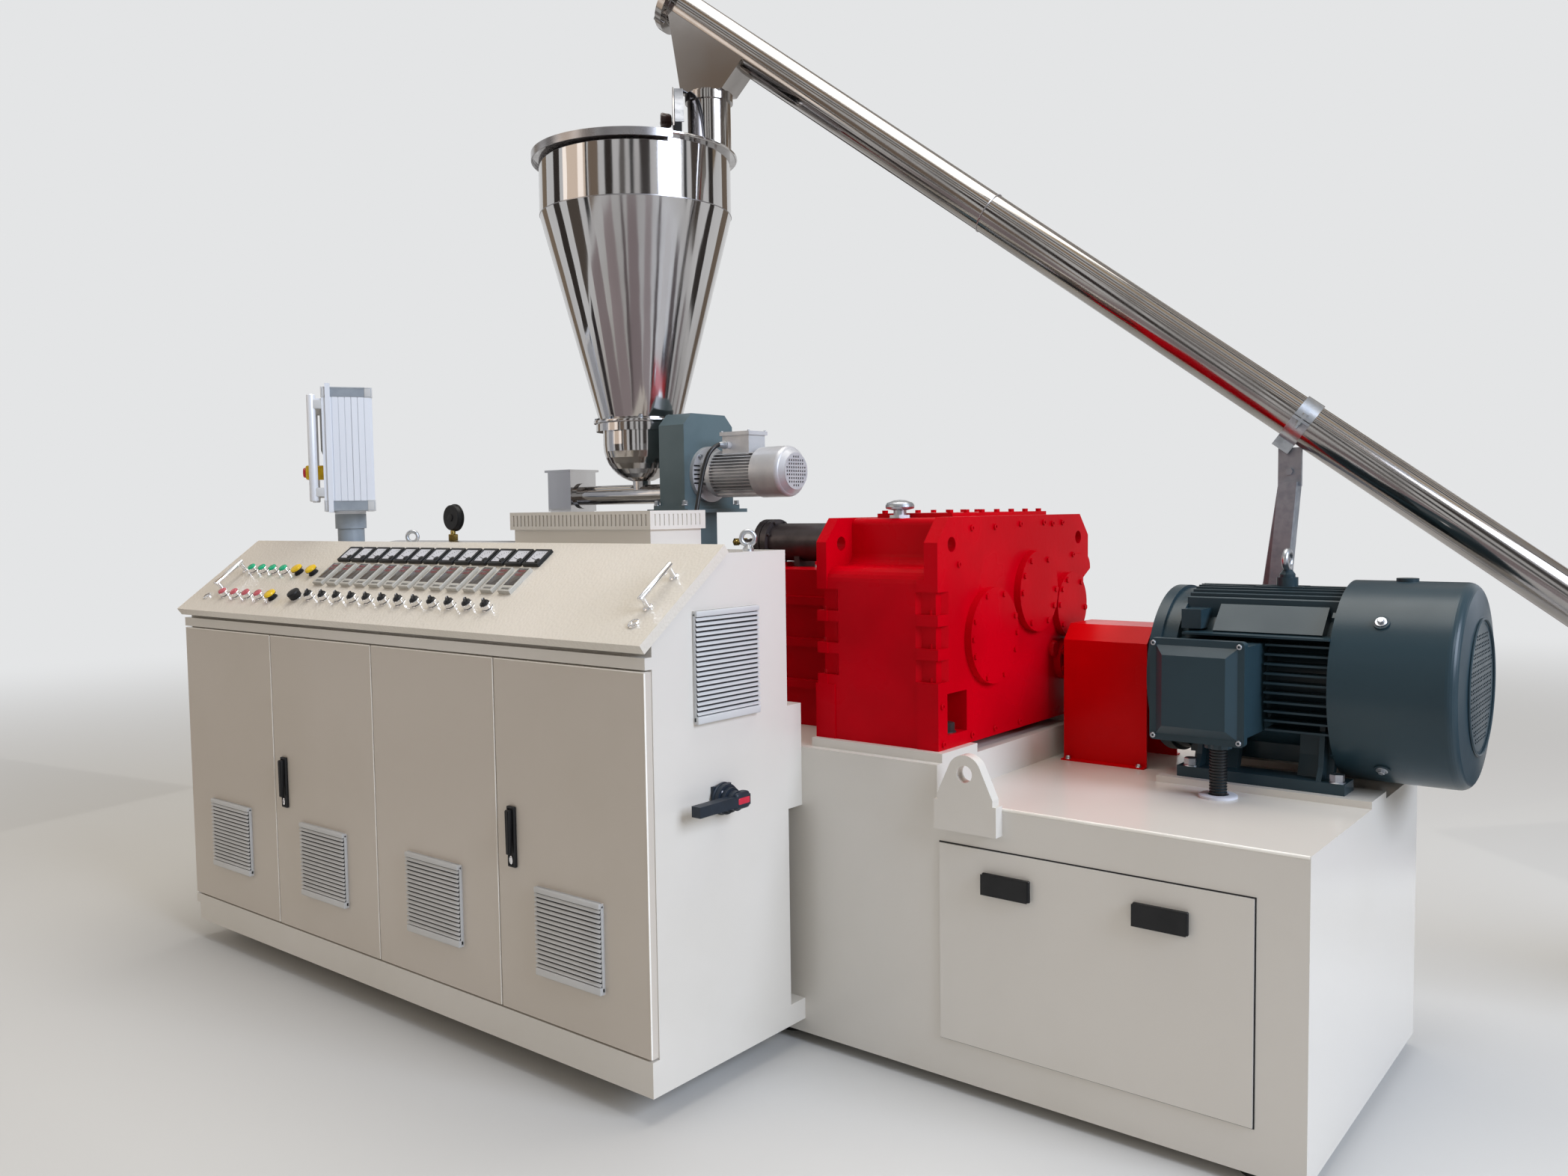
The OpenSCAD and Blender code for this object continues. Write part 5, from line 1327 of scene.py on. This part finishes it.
@dataclass
class Feeding:
    """Small parts of the hopper, the feeder, the loader and the barrel.

    Attributes:
        gauge: Centre of the pressure gauge.
    """

    gauge: Point = (-2106.0, AXIS_Y, 1411.0)

    def dial(self) -> None:
        """Models the gauge in place of its plain solid: case, rim, scale, hand and brass stem."""
        where = ROW @ spot(*self.gauge, Facing.BACK)
        steps = [
            (10, -15), (14, -14), (14, -11), (46, -11), (50, -8), (51, 8), (54, 9), (54, 15), (52, 17),
            (48, 17), (47.5, 12),
        ]
        case = Bench.turned("pressure_gauge_case", steps, 56)
        settle(case, Paint.BLACK, where)
        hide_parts("pressure_gauge")
        face = Bench.turned("gauge_face", [(47.6, 10.0), (47.6, 12.2)], 48)
        settle(Bench.press(face, faces(Facing.UP), 4.0, 0.2), Paint.WHITE, where)
        tick = Bench.block("gauge_marks", (-0.9, 36.0, 12.2), (0.9, 44.0, 13.0), 0.1, 1)
        hand = Bench.block("gauge_hand", (-1.1, -10.0, 13.2), (1.1, 38.0, 14.2), 0.3, 1)
        Bench.move(hand, turn(130))
        ticks = Bench.repeat(tick, [turn(a) for a in range(-135, 136, 27)])
        settle(Bench.join("gauge_marks", [ticks, hand]), Paint.BLACK, where)
        x, y, z = self.gauge
        nut = Bench.turned("gauge_nut", [(19, 1321), (20, 1322.5), (20, 1344), (18, 1346)], 6)
        settle(nut, Paint.BRASS, ROW @ shift(x, y))
        stem = Bench.turned("gauge_stem", [(10, 1344), (10, z - 52), (8, z - 49)], 24)
        settle(stem, Paint.BRASS, ROW @ shift(x, y))

    def hopper(self) -> None:
        """Models the rolled rim, the seam, the collar and the collar bolts of the hopper."""
        bead = Bench.torus("hopper_rim_bead", (339.0, 4.5), (96, 12))
        settle(bead, Paint.POLISHED, ROW @ shift(HOPPER_X, AXIS_Y, 2604.0))
        seam = Bench.thicken(Bench.band("hopper_seam", 320.4, 3.0, 96), 1.8)
        settle(seam, Paint.BRUSHED, ROW @ shift(HOPPER_X, AXIS_Y, 2411.0))
        collar = Bench.soften(Bench.thicken(Bench.band("hopper_collar", 150.0, 10.0), 16.0), 1.6)
        settle(collar, Paint.POLISHED, ROW @ shift(HOPPER_X, AXIS_Y, 1722.0))
        places = ring(147.5, range(0, 360, 45), (HOPPER_X, AXIS_Y, 1732.0), Facing.UP)
        settle(hexagon("hopper_collar_bolts", 15.0, 7.0, 9.0), Paint.ZINC, at=places)

    def flap(self) -> None:
        """Models the folded rim and the moulded knob of the hopper's flap."""
        rim = Bench.band("flap_rim", 340.0, -28.0, 144)
        for vertex in rim.data.vertices:
            vertex.select = vertex.co.x < FLAP_CHORD + 14.0
        Bench.mode("EDIT")
        bpy.ops.mesh.delete(type="VERT")
        Bench.mode("OBJECT")
        Bench.move(Bench.thicken(rim, 2.6), shift(-FLAP_CHORD))
        upright = FLAP @ Facing.LEFT.value
        settle(rim, Paint.GALVANISED, upright, Body.FLAP)
        knob = Bench.turned("flap_knob", [(9, 8), (18, 10), (22, 16), (26, 38), (25, 44), (18, 47)])
        settle(knob, Paint.BAKELITE, upright @ shift(118.0), Body.FLAP)

    def feeder(self) -> None:
        """Models the bolts and lid screws of the feeder drive, and black bars painted as the shade in its
        vents.
        """
        places = ring(79.0, (45, 135, 225, 315), (-724.0, AXIS_Y, 1542.0), Facing.RIGHT)
        settle(hexagon("feeder_flange_bolts", 14.0, 7.0, 8.0), Paint.ZINC, at=places)
        corners = [shift(-738 + x, AXIS_Y + y, 1672.0) for x in (98, 208) for y in (-40, 40)]
        settle(socket_screw("feeder_lid_screws", 3.6, 4.0), Paint.ZINC, at=corners)
        feet = [shift(x, y, 1442.0) for x in (-855.0, -731.0) for y in (920.0, 1171.0)]
        settle(hexagon("feeder_foot_bolts", 18.0, 13.0, 10.5), Paint.ZINC, at=feet)
        # Black bars on the flange paint the shade inside its vent slots.
        slots = []
        for z in range(1510, 1567, 14):
            low, high = (-724.4, AXIS_Y - 84.0, z), (-722.6, AXIS_Y - 56.0, z + 5.0)
            slots.append(Bench.block("feeder_slot_shade", low, high, 0.5, 1))
        settle(Bench.join("feeder_slot_shade", slots), Paint.BLACK)

    def loader(self) -> None:
        """Models the weld beads and flange bolts of the loader."""
        places = []
        for degrees in range(0, 360, 60):
            a = math.radians(degrees)
            places.append(spot(-156.0, 80.0 * math.cos(a), 80.0 * math.sin(a), Facing.LEFT))
        settle(hexagon("loader_flange_bolts", 18.0, 8.0, 10.0), Paint.ZINC, TUBE, at=places)
        spots = [spot(x, 0, 0, Facing.RIGHT) for x in (-131.0, 1180.0, 3380.0)]
        settle(Bench.torus("loader_welds", (62.6, 2.2), (64, 8)), Paint.BRUSHED, TUBE, at=spots)

    def fittings(self) -> None:
        """Models the brass fittings of the oil cooler and their nuts."""
        fitting = [(12, 0), (12, 12), (9, 14), (9, 30), (13, 32), (13, 44), (8, 46)]
        nut = [(18, 0), (18, 10), (15, 12), (15, 18), (11, 20)]
        for name, profile, x, paint in (
            ("cooler_fittings", fitting, -566.0, Paint.BRASS),
            ("cooler_nuts", nut, -505.2, Paint.ZINC),
        ):
            piece = Bench.soften(Bench.turned(name, profile, 6), 0.8, 1)
            settle(piece, paint, at=[spot(x, y, 1323.0, Facing.LEFT) for y in (1022.0, 1062.0)])

    def build(self) -> None:
        """Models every piece along the material's way."""
        self.dial()
        self.hopper()
        self.flap()
        self.feeder()
        self.loader()
        self.fittings()


@dataclass
class OperatorScreen:
    """Profiles, front, buttons and handles of the operator's enclosure.

    Attributes:
        base_z: Height of its underside.
        height: Its height.
        half_w: Half of its width.
        half_d: Half of its depth.
        bands: Heights of the die-cast bands at its foot and its head.
        slats: Number of ribs in each side.
    """

    base_z: float = 1440.0
    height: float = 410.0
    half_w: float = 150.0
    half_d: float = 80.0
    bands: tuple[float, float] = (36.0, 34.0)
    slats: int = 7

    def fit(self, obj: Object, paint: Paint, where: Matrix = SCREEN) -> None:
        """Hangs a piece on the enclosure."""
        settle(obj, paint, where, Body.SCREEN)

    def shell(self) -> None:
        """Models the ribbed side profiles and the bands round the foot and the head."""
        z0, z1, w, d = self.base_z, self.base_z + self.height, self.half_w, self.half_d
        foot, head = z0 + self.bands[0], z1 - self.bands[1]
        slat_w = (2 * d - 18.0) / self.slats
        parts = []
        for x in (-w, w):
            for i in range(self.slats):
                y = -d + 12.0 + i * slat_w
                low, high = (x - 2.2, y + 0.7, foot - 2.0), (x + 2.2, y + slat_w - 0.7, head + 2.0)
                parts.append(Bench.block("screen_profiles", low, high, 0.6, 1))
        self.fit(Bench.join("screen_profiles", parts), Paint.ANODISED)
        parts = []
        for low, high in ((z0 - 0.6, foot), (head, z1 + 0.6)):
            for x, outer in ((-w, Facing.LEFT), (w, Facing.RIGHT)):
                corners = (x - 1.8, -d - 0.8, low), (x + 1.8, d + 0.8, high)
                band = Bench.block("screen_bands", *corners, 1.2)
                parts.append(Bench.press(band, faces(outer, w + 1.6), 4.0, -0.8))
        self.fit(Bench.join("screen_bands", parts), Paint.PROFILE)
        parts = []
        for low, high in ((z0 - 1.2, foot + 0.6), (head - 0.6, z1 + 1.2)):
            for x in (-w, w):
                for y0, y1 in ((-d - 1.4, -d + 12.0), (d - 24.0, d + 1.4)):
                    corners = (x - 2.6, y0, low), (x + 2.6, y1, high)
                    parts.append(Bench.block("screen_corners", *corners, 1.6, 3))
        self.fit(Bench.join("screen_corners", parts), Paint.LOUVRE)

    def front(self) -> None:
        """Models the front plate, the display, the lamps and the emergency stop."""
        z0 = self.base_z
        plate = Bench.block("screen_plate", (-122.0, -78.6, z0 + 28.0), (122.0, -75.4, z0 + 382.0), 1.0, 1)
        self.fit(plate, Paint.CREAM)
        glass = Bench.block("screen_glass", (-108.0, -82.0, z0 + 190.0), (108.0, -76.0, z0 + 368.0), 1.5)
        self.fit(Bench.press(glass, faces(Facing.FRONT, 81.0), 14.0, -1.2), Paint.GLASS)
        lamp = Bench.turned("screen_lamps", [(11, 0), (11, 5), (8.5, 6), (8.5, 13), (6.5, 15)], 24)
        spots = [spot(x, -77.0, z0 + z, Facing.FRONT) for x in (-90, -50, -10) for z in (70, 130)]
        self.fit(Bench.repeat(lamp, spots), Paint.BLACK)
        base = Bench.block("stop_base", (36.0, -138.0, z0 + 106.0), (84.0, -76.0, z0 + 154.0), 7.0, 4)
        self.fit(base, Paint.LENS_YELLOW)
        stop = Bench.turned("stop_button", [(10, 60), (15, 61), (16.5, 63), (16.5, 67), (13, 70), (4, 71)])
        self.fit(stop, Paint.SIGNAL_RED, SCREEN @ spot(60.0, -76.0, z0 + 130.0, Facing.FRONT))

    def handles(self) -> None:
        """Models the two tube handles with their clamps."""
        z0 = self.base_z
        for i, x in enumerate((-136.0, 136.0)):
            bar = Bench.soften(Bench.turned(f"screen_handle_{i + 1}", [(14.0, 0), (14.0, 352)]), 3.0, 3)
            Bench.press(bar, ends, 2.0, -1.0)
            self.fit(bar, Paint.ANODISED, SCREEN @ shift(x, -112.0, z0 + 33.0))
            name = f"handle_clamps_{i + 1}"
            clamps = [
                Bench.block(name, (x - 12.6, -112.6, low), (x + 12.6, -78.0, low + 30.0), 3.0, 3)
                for low in (z0 + 48.0, z0 + 338.0)
            ]
            self.fit(Bench.join(name, clamps), Paint.LOUVRE)

    def build(self) -> None:
        """Models every piece of the enclosure."""
        self.shell()
        self.front()
        self.handles()


def dress_frame() -> None:
    """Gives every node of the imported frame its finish."""
    for paint, names in NODE_PAINT.items():
        for name in names:
            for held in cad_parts[name].material_slots:
                held.link = "OBJECT"
                held.material = paint.material()
        log.info("%s on %d nodes", paint.name.lower(), len(names))


def main() -> None:
    """Builds the scene in order: camera and cable first, then the small parts."""
    logging.basicConfig(level=logging.INFO, format="%(message)s")
    Studio().build()
    FeederCable().build()
    dress_frame()
    Cabinet().build()
    Console().build()
    Drive().build()
    Feeding().build()
    OperatorScreen().build()


if __name__ == "__main__":
    main()
